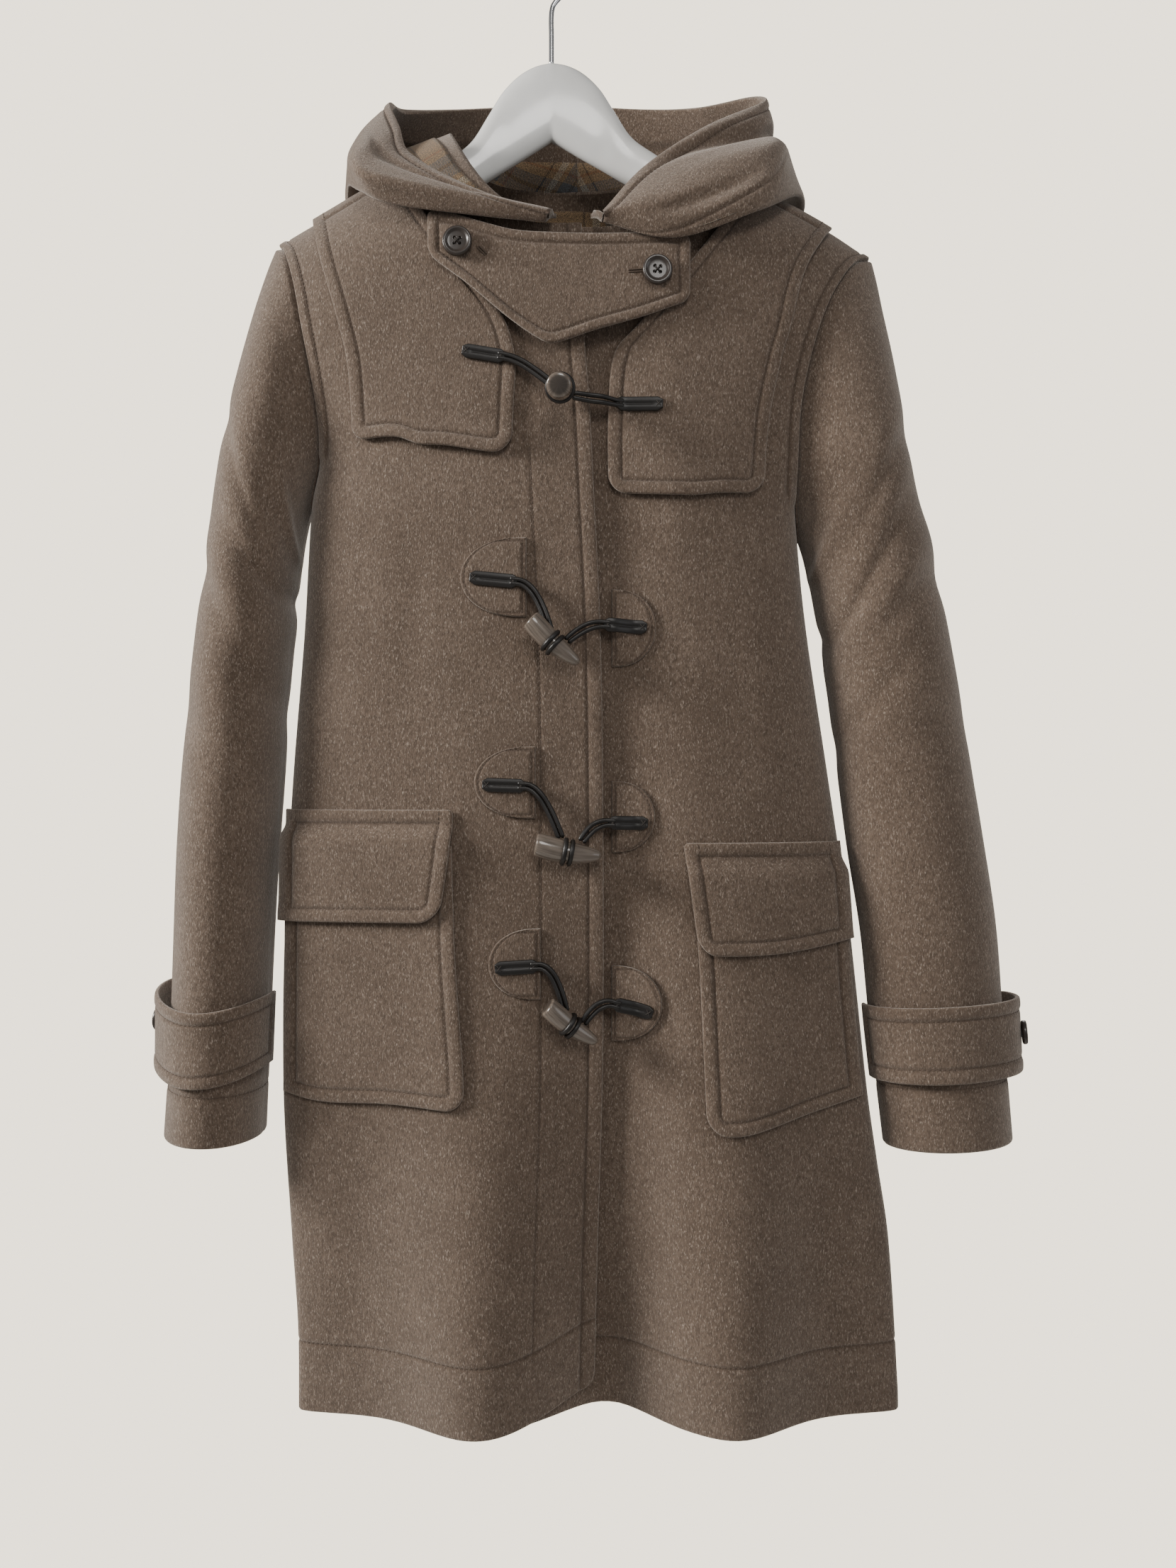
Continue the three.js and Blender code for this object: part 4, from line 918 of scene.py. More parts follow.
def sleeve(name, side, rows, mirror):
    """A sleeve: a tube on its rings, creased as listed, tucked under the armhole's edge and with a
    stitch line above the cuff."""
    u = np.arange(SLEEVE_SIDES)[:, None] / SLEEVE_SIDES
    upper = (np.arange(SLEEVE_ROWS) / SLEEVE_ROWS) ** 1.15 * (1 - NEAR_CUFF[-1] / SLEEVE_LENGTH)
    v = np.concatenate([upper, 1 - NEAR_CUFF[::-1] / SLEEVE_LENGTH])[None, :]
    base = sleeve_ring(rows, side, u, v)
    normals = grid_normals(base, 1, wrap=True)
    centre = base.mean(axis=0, keepdims=True)
    normals *= np.sign(((base - centre) * normals).sum(axis=-1).mean())
    up = (1 - v) * SLEEVE_LENGTH + 0 * u
    trough = 0.6 * bell(up - CUFF_STITCH, 1.2) + 0.5 * bell(u - 0.5, 0.006) * (v > 0.02)
    tuck = bell(v * SLEEVE_LENGTH, 4.0)
    base = base - stack(side * 4.5 * tuck, 0 * tuck, 0 * tuck)
    relief = sleeve_creases(u, v, mirror) * smooth(v / 0.2) - trough - 4.2 * tuck
    row = np.argmin(np.abs(up[0] - CUFF_STITCH))
    ring = np.append(np.arange(SLEEVE_SIDES), 0)
    sew(name, (base + normals * relief[..., None])[ring, row], normals[ring, row])
    # Painted shade along the cuff's stitch trough and the seam under the arm, and where the head tucks
    # under the armhole's edge
    marks = np.clip(trough * 0.7, 0, 0.5) + 0.3 * tuck
    return cloth_wall(name, base, normals, relief, rolled(up), marks, wrap=True)


sleeve("sleeve_left", -1, LEFT_SLEEVE, 1)
sleeve("sleeve_right", 1, RIGHT_SLEEVE, -1)


# Pieces laid on the fronts

NEAR_10 = [0, 0.15, 0.5, 1, 1.7, 3, 4.6, 6.2, 7.8, 8.8, 9.5, 10.2, 11, 12.2, 14]
ON_PANEL = 1.0
ON_YOKE = ON_PANEL + CLOTH + 0.6


def sew_loop(name, points, normals, near, inset):
    """Stitches down both sides of a piece and along its bottom, the inset within its edges."""
    k = int(np.argmin(np.abs(np.array(near) - inset)))
    normals = normals * np.sign(-normals[..., 1:2].mean())
    right, bottom = points.shape[0] - 1 - k, points.shape[1] - 1 - k
    across, down = np.arange(k, right + 1), np.arange(bottom + 1)
    for take in ((k, down), (across, bottom), (right, down)):
        sew(name, points[take], normals[take])


def laid_piece(name, left, right, top, bottom, lift, counts, radii, inset=9.5, sink=front_sink,
               near=NEAR_10):
    """A flat piece on the front: x runs between two edges read at z, and z between a top and
    a bottom read at x, with rounded corners, a turned edge and a stitched inset line."""
    across, down = spaced(near, near, counts[0]), spaced(near, near, counts[1])
    p, m, q, n, away = rounded_grid(across, down, radii)
    middle = lerp(left(0 * p - 300.0), right(0 * p - 300.0), 0.5)
    z = lerp(top(middle), bottom(middle), q) - n
    for _ in range(3):
        x = lerp(left(z), right(z), p) + m
        z = lerp(top(x), bottom(x), q) - n
    x = lerp(left(z), right(z), p) + m
    relief = stitched(away, inset) + lift(x, z)
    outer = on_face(-1, x, z, CLOTH + relief - rolled(away), sink(x, z))
    inner = on_face(-1, x, z, lift(x, z) + rolled(away), sink(x, z))
    sew_loop(name, outer, grid_normals(outer, 1), near, inset)
    # Painted shade along the stitch line
    return wall_of(name, outer, inner, WOOL, marks=0.5 * bell(away - inset, 1.2))


def reader(names, rows):
    """A function that reads the second column of a table at a place in its first."""
    rows = table(names, rows)
    key, column = names.split()
    return lambda at: read(rows, key, column, at)


def under_neck(x):
    """Height of a yoke's top edge, a little under the fronts' own."""
    return top_z(-1, x) - 9


laid_piece(
    "yoke_left",
    reader("z x", [[-200, -172], [-246, -160], [-280, -150], [-313, -142], [-349, -139], [-385, -138]]),
    reader("z x", [[-200, -96], [-246, -64], [-280, -36], [-313, -24], [-349, -24.5], [-385, -26]]),
    under_neck,
    reader("x z", [[-145, -372], [-122, -369.5], [-105, -370], [-90, -375.5], [-72, -377],
                   [-40, -382], [-22, -381]]),
    lambda x, z: lerp(ON_PANEL, 2.6, smooth((-355 - z) / 20)) + 1.3 * smooth((z + 262) / 30),
    (28, 42), (0, 0, 12, 13))
laid_piece(
    "yoke_right",
    reader("z x", [[-205, 132], [-246, 101], [-292, 62], [-310, 46], [-355, 41], [-410, 41]]),
    reader("z x", [[-205, 208], [-246, 181], [-292, 168.5], [-310, 163], [-355, 154], [-410, 150]]),
    under_neck,
    reader("x z", [[38, -408.5], [52, -409.5], [98, -411], [119, -408.6], [142, -407.5], [152, -407]]),
    lambda x, z: lerp(ON_PANEL, 2.6, smooth((-385 - z) / 20)) + 1.6 * smooth((z + 268) / 30),
    (28, 46), (0, 0, 13, 15))

TAB_LIFT = ON_YOKE + 1.6
TAB_TOP = reader("x z", [[-84, -217], [-76, -217.5], [-64.7, -219.5], [-45.2, -225], [-24.3, -230.5],
                         [5.8, -232.5], [39.9, -233], [70, -232], [81, -231.5], [98, -234]])
TAB_BOTTOM = reader("x z", [[-84, -245], [-76, -252], [-54.8, -268], [-26.6, -291.8], [-4, -307],
                            [4, -308.5], [31.6, -299.5], [64, -290], [86, -282], [98, -278]])
laid_piece(
    "throat_tab", level(-83), level(97), TAB_TOP, TAB_BOTTOM,
    lambda x, z: TAB_LIFT + 0 * x, (40, 14), (4, 6, 5, 7), inset=7.5, sink=lambda x, z: 0 * x,
    near=[0, 0.15, 0.5, 1, 1.7, 3, 4.4, 5.6, 6.6, 7.3, 8, 8.8, 10])

laid_piece(
    "pocket_left", level(-188),
    reader("z x", [[-655, -67], [-731, -64.3], [-810, -58.3], [-840, -57.5]]),
    level(-655), reader("x z", [[-190, -830], [-160, -835], [-110, -834.5], [-56, -837]]),
    lambda x, z: ON_PANEL + 0 * x, (26, 36), (0, 0, 0, 14))
laid_piece(
    "pocket_flap_left", level(-188.5),
    reader("z x", [[-630, -66], [-652, -67], [-692, -72], [-712, -76]]),
    level(-630), reader("x z", [[-190, -709.5], [-140, -708.5], [-84, -708], [-70, -707]]),
    lambda x, z: lerp(ON_PANEL, 5.6, smooth((-640 - z) / 12)) + 0.8 * smooth((-692 - z) / 14),
    (26, 12), (0, 4, 0, 14))
laid_piece(
    "pocket_right",
    reader("z x", [[-680, 100], [-745, 104.3], [-805, 107], [-838, 108.5], [-856, 109]]),
    reader("z x", [[-680, 210], [-745, 213], [-805, 218], [-838, 220], [-856, 221]]),
    level(-680),
    reader("x z", [[108, -851.5], [125, -853.5], [140, -852], [182, -841], [222, -832]]),
    lambda x, z: ON_PANEL + 2.0 * smooth((-800 - z) / 50), (26, 36), (0, 0, 14, 0))
laid_piece(
    "pocket_flap_right",
    reader("z x", [[-653, 93], [-677, 96.5], [-718, 102], [-735, 104]]),
    reader("z x", [[-653, 206], [-677, 208], [-718, 211], [-735, 212]]),
    level(-653), reader("x z", [[100, -729], [112, -731], [160, -730], [212, -722]]),
    lambda x, z: lerp(ON_PANEL, 5.6, smooth((-663 - z) / 14)) + 0.8 * smooth((-715 - z) / 14),
    (26, 12), (4, 0, 14, 0))

# Hood

HOOD_COLUMNS = "turn neckX lieX lieY lieZ foldX foldY foldZ sideX sideY sideZ rimX rimY rimZ"
HOOD_LEFT = table(HOOD_COLUMNS, [
    [0, 5, 1, -58, -222, -2, -63, -227, 0, -68, -223, 3, -64, -218],
    [0.14, -22, -34, -57, -219, -46, -65, -223, -50, -70, -212, -44, -61, -205],
    [0.28, -55, -82, -56, -202, -110, -63, -214, -122, -67, -192, -97, -44, -169],
    [0.35, -66, -99, -42, -177, -132, -50, -199, -134, -54, -172, -108, -27, -140],
    [0.42, -72, -114, -14, -160, -146, -21, -182, -139, -24, -148, -118, -8, -113],
    [0.56, -66, -110, 30, -170, -152, 34, -190, -142, 38, -130, -113, 24, -99],
    [0.72, -40, -76, 62, -206, -112, 92, -270, -114, 108, -186, -79, 58, -80],
    [0.86, -10, -32, 66, -228, -48, 106, -300, -50, 128, -210, -34, 80, -66],
    [1, 17.8, 17.8, 66, -238, 17.8, 108, -312, 17.8, 132, -216, 17.8, 86, -62],
])
HOOD_RIGHT = table(HOOD_COLUMNS, [
    [0, 29, 33, -58, -222, 37, -63, -227, 38, -68, -223, 37, -64, -219],
    [0.14, 56, 70, -55, -222, 88, -65, -238, 86, -70, -212, 66, -52, -182],
    [0.28, 88, 116, -52, -203, 146, -60, -217, 150, -60, -188, 110, -37, -146],
    [0.42, 106, 146, -15, -172, 181, -19, -188, 168, -22, -158, 155, -8, -112],
    [0.56, 100, 142, 30, -176, 186, 34, -194, 173, 38, -140, 152, 20, -92],
    [0.72, 74, 118, 62, -206, 152, 92, -270, 156, 108, -182, 114, 56, -79.6],
    [0.86, 44, 66, 66, -228, 88, 106, -300, 92, 128, -208, 72, 78, -69],
    [1, 18.6, 18.6, 66, -238, 18.6, 108, -312, 18.6, 132, -216, 18.6, 86, -62],
])
HOOD_KNOTS = np.array([0, 0.18, 0.42, 0.68, 1])
HOOD_SEAM = 2.7
HOOD_MIDDLE, MIDDLE_OVER = 18.2, 0.12
NECK_TURN = 7
RIM_STITCH = 9.0
FACING_WIDTH = 26.0
# Creases of the hood: both ends as round and along it, half width, height and bow in millimetres
HOOD_SPAN = (300.0, 220.0)
LEFT_HOOD_CREASES = table("u0 v0 u1 v1 width lift bow", [
    [0.05, 0.86, 0.42, 0.80, 7, -2.6, -6], [0.10, 0.66, 0.50, 0.60, 12, 2.6, 5],
    [0.50, 0.90, 0.70, 0.40, 12, -4.0, 10], [0.70, 0.88, 0.86, 0.42, 14, 4.0, -8],
    [0.86, 0.86, 0.92, 0.30, 13, -4.5, 6], [0.42, 0.44, 0.70, 0.52, 9, -3.0, 6],
])
RIGHT_HOOD_CREASES = table("u0 v0 u1 v1 width lift bow", [
    [0.08, 0.99, 0.62, 0.60, 7.5, -9.0, -16], [0.12, 0.84, 0.56, 0.50, 13, 4.5, -14],
    [0.06, 0.60, 0.30, 0.72, 9, -3.5, 5], [0.52, 0.92, 0.72, 0.42, 12, -4.0, 10],
    [0.72, 0.86, 0.86, 0.40, 14, 4.0, -8], [0.86, 0.84, 0.93, 0.30, 13, -4.5, 6],
])
# The seam that runs down the right half from the fold to the neck
HOOD_SEAM_LINE = table("u0 v0 u1 v1 width lift bow", [[0.47, 0.74, -0.02, 0.34, 1.6, -1.5, 6]])


def through(points, knots, v):
    """Surface through layers of points: a cubic between each pair of knots, whose slope at a
    knot is the rise between its two neighbours."""
    count = len(points)
    slope = []
    for k in range(count):
        a, b = max(0, k - 1), min(count - 1, k + 1)
        slope.append((points[b] - points[a]) / (knots[b] - knots[a]))
    found = np.zeros(np.broadcast(points[0][..., 0], v).shape + (3,))
    for k in range(count - 1):
        span = knots[k + 1] - knots[k]
        t = clamp((v - knots[k]) / span)[..., None]
        bend = t * (1 - t) * span
        piece = lerp(points[k], points[k + 1], t * t * (3 - 2 * t))
        piece = piece + bend * (slope[k] * (1 - t) - slope[k + 1] * t)
        inside = (v >= knots[k]) if k == count - 2 else (v >= knots[k]) & (v < knots[k + 1])
        found = np.where(inside[..., None], piece, found)
    return found


def hood_place(rows, u, v):
    """A point of the hood: from the neckline out over the shoulder, round the fold, up the side
    and to the rim."""
    value = {name: read(rows, "turn", name, u) for name in rows}
    half = np.where(u < 0.5, -1, 1)
    neck_x = value["neckX"]
    neck_z = np.where(half < 0, top_z(-1, neck_x), top_z(1, neck_x))
    rise = HOOD_SEAM + NECK_TURN * bell(u - 0.26, 0.14)
    points = [stack(neck_x, face_y(half, neck_x, neck_z), neck_z + rise)]
    for place in ("lie", "fold", "side", "rim"):
        points.append(stack(value[place + "X"], value[place + "Y"], value[place + "Z"]))
    return through(points, HOOD_KNOTS, v)


def keep_side(turn, points):
    """Keeps a layer of one hood half on its own side of the seam down the middle of the back."""
    limit = np.minimum if turn < 0 else np.maximum
    points[..., 0] = limit(points[..., 0], HOOD_MIDDLE - turn * MIDDLE_OVER)
    points[-1, :, 0] = HOOD_MIDDLE - turn * MIDDLE_OVER
    return points


def hood_crease_sum(rows, u, v):
    """Sum of the hood's creases, as on the body but round and along the hood."""
    wide, high = HOOD_SPAN
    return crease_sum(dict(zip(("x0", "z0", "x1", "z1", "width", "lift", "bow"), (
        rows["u0"] * wide, rows["v0"] * high, rows["u1"] * wide, rows["v1"] * high,
        rows["width"], rows["lift"], rows["bow"]))), u * wide, v * high)


def hood_grid(columns, rows):
    """Shares round and along the hood, crowded at the rim."""
    u, v = np.meshgrid(np.linspace(0, 1, columns), np.linspace(0, 1, rows), indexing="ij")
    return u, 1 - (1 - v) ** 1.5


def hood_half(name, rows, turn, creases, seam=None):
    """One half of the hood, from the throat round to the middle of the back, creased as listed,
    stitched along its rim and faced inside it."""
    columns, count = 150, 100
    u, v = hood_grid(columns, count)
    base = hood_place(rows, u, v)
    steps = np.linalg.norm(np.diff(base, axis=1), axis=-1)
    along = np.concatenate([np.zeros((columns, 1)), steps.cumsum(axis=1)], axis=1)
    from_rim = along[:, -1:] - along
    normals = grid_normals(base, turn)
    settled = smooth((v - 0.45) / 0.12) * smooth(from_rim / 10)
    relief = hood_crease_sum(creases, u, v) * settled + stitched(from_rim, RIM_STITCH, puff=0.7)
    # Painted shade on the throat ends, inside and out
    throat = 0.6 * bell(u, 0.012)
    # Painted shade along the rim's stitch line and on the throat ends
    marks = np.maximum(0.5 * bell(from_rim - RIM_STITCH, 1.2), throat)
    if seam is not None:
        line = hood_crease_sum(seam, u, v)
        relief = relief + line
        # The seam's groove gets painted shade as well
        marks = marks - 0.3 * line
    roll = rolled(from_rim)
    centre = relief - stitched(from_rim, RIM_STITCH, puff=0.7)
    outer = base + normals * (relief - roll)[..., None]
    facing = 2.2 * smooth((FACING_WIDTH - from_rim) / 3 + 0.5)
    inner = base + normals * (centre - CLOTH - facing + roll * 2.4)[..., None]
    line, ahead = (np.array([[np.interp(RIM_STITCH, away[::-1], p[::-1]) for p in place.T]
                             for away, place in zip(from_rim, grid)]) for grid in (outer, normals))
    sew(name, line[4:-3], ahead[4:-3])
    outer, inner = keep_side(turn, outer), keep_side(turn, inner)
    return wall_of(name, outer, inner, WOOL, marks=marks, inner_marks=throat)


hood_half("hood_left", HOOD_LEFT, -1, LEFT_HOOD_CREASES)
hood_half("hood_right", HOOD_RIGHT, 1, RIGHT_HOOD_CREASES, HOOD_SEAM_LINE)


def hood_lining(name, rows, turn, creases):
    """The lining of one half, behind the hood's own cloth and under the edge of its facing."""
    columns, count = 120, 70
    u, down = np.meshgrid(np.linspace(0.17, 1, columns), np.linspace(0, 1, count), indexing="ij")
    v = lerp(0.05, 0.92, down)
    base = hood_place(rows, u, v)
    normals = grid_normals(base, turn)
    sag = hood_crease_sum(creases, u, v) * smooth((v - 0.45) / 0.12)
    outer = base + normals * (sag - CLOTH - 0.15)[..., None]
    inner = base + normals * (sag - CLOTH - 1.2)[..., None]
    high = np.linalg.norm(np.diff(base, axis=1), axis=-1).cumsum(axis=1)
    wide = np.linalg.norm(np.diff(base, axis=0), axis=-1).cumsum(axis=0)
    cut = np.stack([np.pad(wide, ((1, 0), (0, 0))), np.pad(high, ((0, 0), (1, 0)))], axis=-1)
    outer, inner = keep_side(turn, outer), keep_side(turn, inner)
    return wall_of(name, outer, inner, CHECK, "lining", uv=cut.reshape(-1, 2))


hood_lining("hood_lining_left", HOOD_LEFT, -1, LEFT_HOOD_CREASES)
hood_lining("hood_lining_right", HOOD_RIGHT, 1, RIGHT_HOOD_CREASES)

# Hanger

HANGER = table("x top bottom thick", [
    [0, -80, -137.5, 8], [12, -82.5, -144.7, 8], [24, -89, -152, 8], [36, -101, -159, 8],
    [46, -117, -165, 8.5], [58, -136, -172, 9], [72, -147.5, -180.6, 10],
    [100, -165, -196, 11], [150, -190.5, -218, 12], [180, -207, -232, 12],
    [192, -214.5, -236, 10], [198, -222, -234, 5],
])
HANGER_END, HANGER_POWER = 198, 0.8


def closed_tube(rings):
    """Points and faces of a tube of rings (station, side), with a fan of triangles on each end."""
    stations, sides = rings.shape[:2]
    ends = np.stack([rings[0].mean(axis=0), rings[-1].mean(axis=0)])
    points = np.concatenate([rings.transpose(1, 0, 2).reshape(-1, 3), ends])
    first = np.arange(sides) * stations
    last = first + stations - 1
    near, far = np.full(sides, sides * stations), np.full(sides, sides * stations + 1)
    ahead, behind = np.roll(first, -1), np.roll(last, -1)
    faces = [quads_of(sides, stations, wrap=True), np.stack([near, ahead, first, first], -1),
             np.stack([far, last, behind, behind], -1)]
    return points, np.concatenate(faces)


def hanger_body():
    """The hanger: a superellipse section lofted from one arm's end to the other."""
    x = np.linspace(-HANGER_END, HANGER_END, 179)
    turn = np.linspace(0, 2 * np.pi, 48, endpoint=False)
    top, bottom, thick = (read(HANGER, "x", c, np.abs(x)) for c in ("top", "bottom", "thick"))
    across, height = (np.sign(c) * np.abs(c) ** HANGER_POWER for c in (np.sin(turn), np.cos(turn)))
    z = lerp(bottom[:, None], top[:, None], (1 + height[None]) / 2) + TILT * x[:, None]
    rings = stack(x[:, None] + 0 * z, thick[:, None] * across[None], z)
    return mesh_of("hanger_body", *closed_tube(rings), WHITE, "hanger")


hanger_body()

# Lining inside the back neck

NECK_LINING = table("x top bottom", [[-60, -178, -300], [17, -170, -320], [94, -186, -300]])


def neck_lining():
    """The lining patch under the back neckline: a thin wall that follows the back's inner face."""
    x, q = np.meshgrid(np.linspace(-60, 94, 60), np.linspace(0, 1, 50), indexing="ij")
    z = lerp(read(NECK_LINING, "x", "top", x), read(NECK_LINING, "x", "bottom", x), q)
    outer, inner = on_face(1, x, z, -CLOTH - 1.2), on_face(1, x, z, -CLOTH - 1.2 - LINING)
    cut = np.stack([x + 70, z + 330], axis=-1).reshape(-1, 2)
    return wall_of("neck_lining", outer, inner, CHECK, "lining", uv=cut)


neck_lining()

# Tubes, rings and other solids of revolution


def swept(path, radius, sides, up):
    """Rings of a tube round a path: circles across it, turned from the up direction."""
    ahead = unit(np.gradient(path, axis=0))
    side = unit(np.cross(ahead, np.broadcast_to(up, path.shape)))
    over = np.cross(side, ahead)
    turn = np.linspace(0, 2 * np.pi, sides, endpoint=False)[None, :, None]
    radius = np.broadcast_to(radius, len(path))[:, None, None]
    return path[:, None] + radius * (np.cos(turn) * side[:, None] + np.sin(turn) * over[:, None])


def cord(path, radius, sides, up=(0.0, -1.0, 0.0)):
    """A cord with round ends: the radius falls away over its own length at each end."""
    run = run_of(path)
    from_end = np.minimum(run, run[-1] - run)
    full = np.sqrt(1 - (1 - clamp(from_end / radius)) ** 2)
    return closed_tube(swept(path, np.maximum(radius * full, 0.05), sides, up))


def eased(count):
    """Shares from 0 to 1 crowded at both ends."""
    return (1 - np.cos(np.linspace(0, np.pi, count))) / 2


def basis(normal):
    """Three directions: one across, one up and the normal itself."""
    normal = unit(np.asarray(normal, float))
    up = unit(np.array([0.05, 0.0, 1.0]) - normal * np.dot([0.05, 0.0, 1.0], normal))
    return np.cross(up, normal), up, normal


# Buttons

BUTTON_OUTLINE = table("along radius height", [
    [0, 0, 0], [0.12, 0.5, 0], [0.22, 0.86, 0.05], [0.3, 0.97, 0.8], [0.36, 1, 1.6], [0.43, 0.995, 2.9],
    [0.5, 0.95, 3.9], [0.57, 0.88, 4.25], [0.64, 0.79, 4.2], [0.72, 0.7, 3.7], [0.8, 0.6, 3.25],
    [0.9, 0.3, 3.05], [1, 0, 3.0],
])
BUTTON_RADIUS, CUFF_BUTTON_RADIUS = 10.3, 8.5
RIM_SHARE = 0.66
HOLE_AT, HOLE_RADIUS, HOLE_DEPTH = 0.185, 1.05, 1.9


def button_solid(foot, normal, radius):
    """A four-hole button: a round outline turned about its axis, with a raised rim, a dished
    middle and four round pits, and two crossed strands of thread in them."""
    along = np.concatenate([np.linspace(0, RIM_SHARE, 34), np.linspace(RIM_SHARE + 0.01, 1, 52)[:-1]])
    reach = read(BUTTON_OUTLINE, "along", "radius", along)[:, None] * radius
    high = read(BUTTON_OUTLINE, "along", "height", along)[:, None] * radius / BUTTON_RADIUS
    turn = np.linspace(0, 2 * np.pi, 72, endpoint=False)[None]
    a, b = reach * np.cos(turn), reach * np.sin(turn)
    hole = HOLE_AT * radius
    from_hole = np.hypot(np.abs(a) - hole, np.abs(b) - hole)
    front = (along > RIM_SHARE)[:, None]
    high = high - HOLE_DEPTH * smooth((HOLE_RADIUS - from_hole) / 0.5) * front + 0 * a
    across, up, out = basis(normal)
    rings = foot + a[..., None] * across + b[..., None] * up + high[..., None] * out
    strands = []
    share = np.linspace(-1, 1, 24)
    for lean in (-1, 1):
        above = (3.5 - 1.3 * share**4 + 0.4 * (lean > 0)) * radius / BUTTON_RADIUS
        path = foot + share[:, None] * hole * (across + lean * up) + above[:, None] * out
        strands.append(cord(path, 0.5, 8, up=out))
    return closed_tube(rings), strands


def coat_button(name, foot, normal, radius):
    """A button and its thread."""
    solid, strands = button_solid(foot, normal, radius)
    mesh_of(name, *solid, BUTTON, "button")
    mesh_of(name + "_thread", *joined(strands), DARK_THREAD, "button", added=True)


def place_button(name, x, z, lift):
    """A button on the front, square to its face."""
    foot, above = (on_face(-1, np.array(x), np.array(z), high) for high in (lift, lift + 1))
    coat_button(name, foot, above - foot, BUTTON_RADIUS)


TAB_FACE = TAB_LIFT + CLOTH
place_button("throat_button_left", -62.2, -240, TAB_FACE + 1.2)
place_button("throat_button_right", 74.2, -259.5, TAB_FACE + 1.2)


def buttonhole(name, x0, z0, x1, z1, lift):
    """A worked buttonhole: short stitches at a close pitch down each side of a slit."""
    share = np.linspace(-0.06, 1.06, 30)
    length = math.hypot(x1 - x0, z1 - z0)
    for side in (-1, 1):
        x = lerp(x0, x1, share) - side * (z1 - z0) / length * 0.75
        z = lerp(z0, z1, share) + side * (x1 - x0) / length * 0.75
        line = on_face(-1, x, z, lift)
        out = on_face(-1, x, z, lift + 1) - line
        sew(name, line, out, pitch=0.62, length=0.9, radius=0.62)


buttonhole("throat_tab", 55, -259.5, 66, -258.8, TAB_FACE + 0.25)
buttonhole("throat_tab", -48, -243, -43, -248, TAB_FACE + 0.25)

# Cuff straps

# Each strap: its sleeve and side, top and bottom down the sleeve, dip, and place of its button
CUFFS = {
    "left": (LEFT_SLEEVE, -1, 0.868, 0.933, 0.015, -0.015),
    "right": (RIGHT_SLEEVE, 1, 0.894, 0.951, 0.0, 0.03),
}
CUFF_FROM, CUFF_TO, CUFF_GAPE = -0.1, 0.5, 7.0
CUFF_LENGTH = 150.0
SLEEVE_RUN = 820.0
STRAP_STITCH = 8.8
ON_SLEEVE = ON_PANEL + 0.8


def cuff_place(rows, side, top, bottom, dip, u, q):
    """A point of the sleeve under the strap and the direction out of it there."""
    share = (u - CUFF_FROM) / (CUFF_TO - CUFF_FROM)
    point_end = 1 - 0.36 * (1 - smooth(share * CUFF_LENGTH / 15)) ** 1.5
    v = (top + bottom) / 2 + (q - 0.5) * (bottom - top) * point_end + dip * np.sin(np.pi * share) ** 2
    at = lambda du, dv: sleeve_ring(rows, side, u + du, v + dv)
    out = unit(side * np.cross(at(1e-3, 0) - at(-1e-3, 0), at(0, 1e-3) - at(0, -1e-3)))
    gape = CUFF_GAPE * bell(share - 0.16, 0.2)
    ripple = 1.3 * np.sin(7.5 * share + 2.2 * q) * np.sin(np.pi * share)
    return at(0, 0), out, gape + ripple


def cuff_strap(which):
    """A strap round the front of a sleeve, from its inner seam to a pointed end held by a
    button: it hangs lower in its middle, stands off near its end and is stitched all round."""
    rows, side, top, bottom, dip, button_u = CUFFS[which]
    share_u, plus_u = spaced(NEAR_10, NEAR_10, 70)
    share_v, plus_v = spaced(NEAR_10, NEAR_10, 22)
    width = (bottom - top) * SLEEVE_RUN
    u = CUFF_FROM + (CUFF_TO - CUFF_FROM) * (share_u + plus_u / CUFF_LENGTH)[:, None]
    q = (share_v + plus_v / width)[None, :]
    away_u = np.minimum(share_u * CUFF_LENGTH + plus_u, (1 - share_u) * CUFF_LENGTH - plus_u)[:, None]
    away_v = np.minimum(share_v * width + plus_v, (1 - share_v) * width - plus_v)[None, :]
    away = np.minimum(away_u, away_v)
    place, out, gape = cuff_place(rows, side, top, bottom, dip, u, q)
    foot = ON_SLEEVE + gape
    outer = place + out * (foot + CLOTH + stitched(away, STRAP_STITCH) - rolled(away))[..., None]
    inner = place + out * (foot + rolled(away))[..., None]
    name = "cuff_strap_" + which
    k = NEAR_10.index(STRAP_STITCH)
    along, across = np.arange(k, outer.shape[0] - k), np.arange(k, outer.shape[1] - k)
    for take in ((along, k), (along, -1 - k), (k, across)):
        sew(name, outer[take], out[take])
    # Painted shade along the strap's stitch line
    wall_of(name, outer, inner, WOOL, marks=0.5 * bell(away - STRAP_STITCH, 1.2))
    at = np.array([[button_u]]), np.array([[0.5]])
    point, normal, stand = (found[0, 0] for found in cuff_place(rows, side, top, bottom, dip, *at))
    foot = point + normal * (ON_SLEEVE + stand + CLOTH + 0.3)
    coat_button("cuff_button_" + which, foot, normal, CUFF_BUTTON_RADIUS)


cuff_strap("left")
cuff_strap("right")

# Half-round patches under the leather

# Each patch: x of its straight side and of its round one, top, bottom and lift
PATCHES = {
    "left_2": (-15.8, -61.7, -441, -496, 1), "left_3": (-9.4, -51.9, -586, -636, 1),
    "left_4": (-6, -41.7, -712, -761, 1), "right_2": (43.5, 74.2, -476, -530, 1),
    "right_3": (43.5, 73.7, -610, -660, 1), "right_4": (43.5, 78.6, -739, -792, 2.2),
}
PATCH_THICK, PATCH_STITCH = 1.5, 2.6
NEAR_PATCH = [0, 0.15, 0.5, 1, 1.8, PATCH_STITCH, 3.4, 4.4]


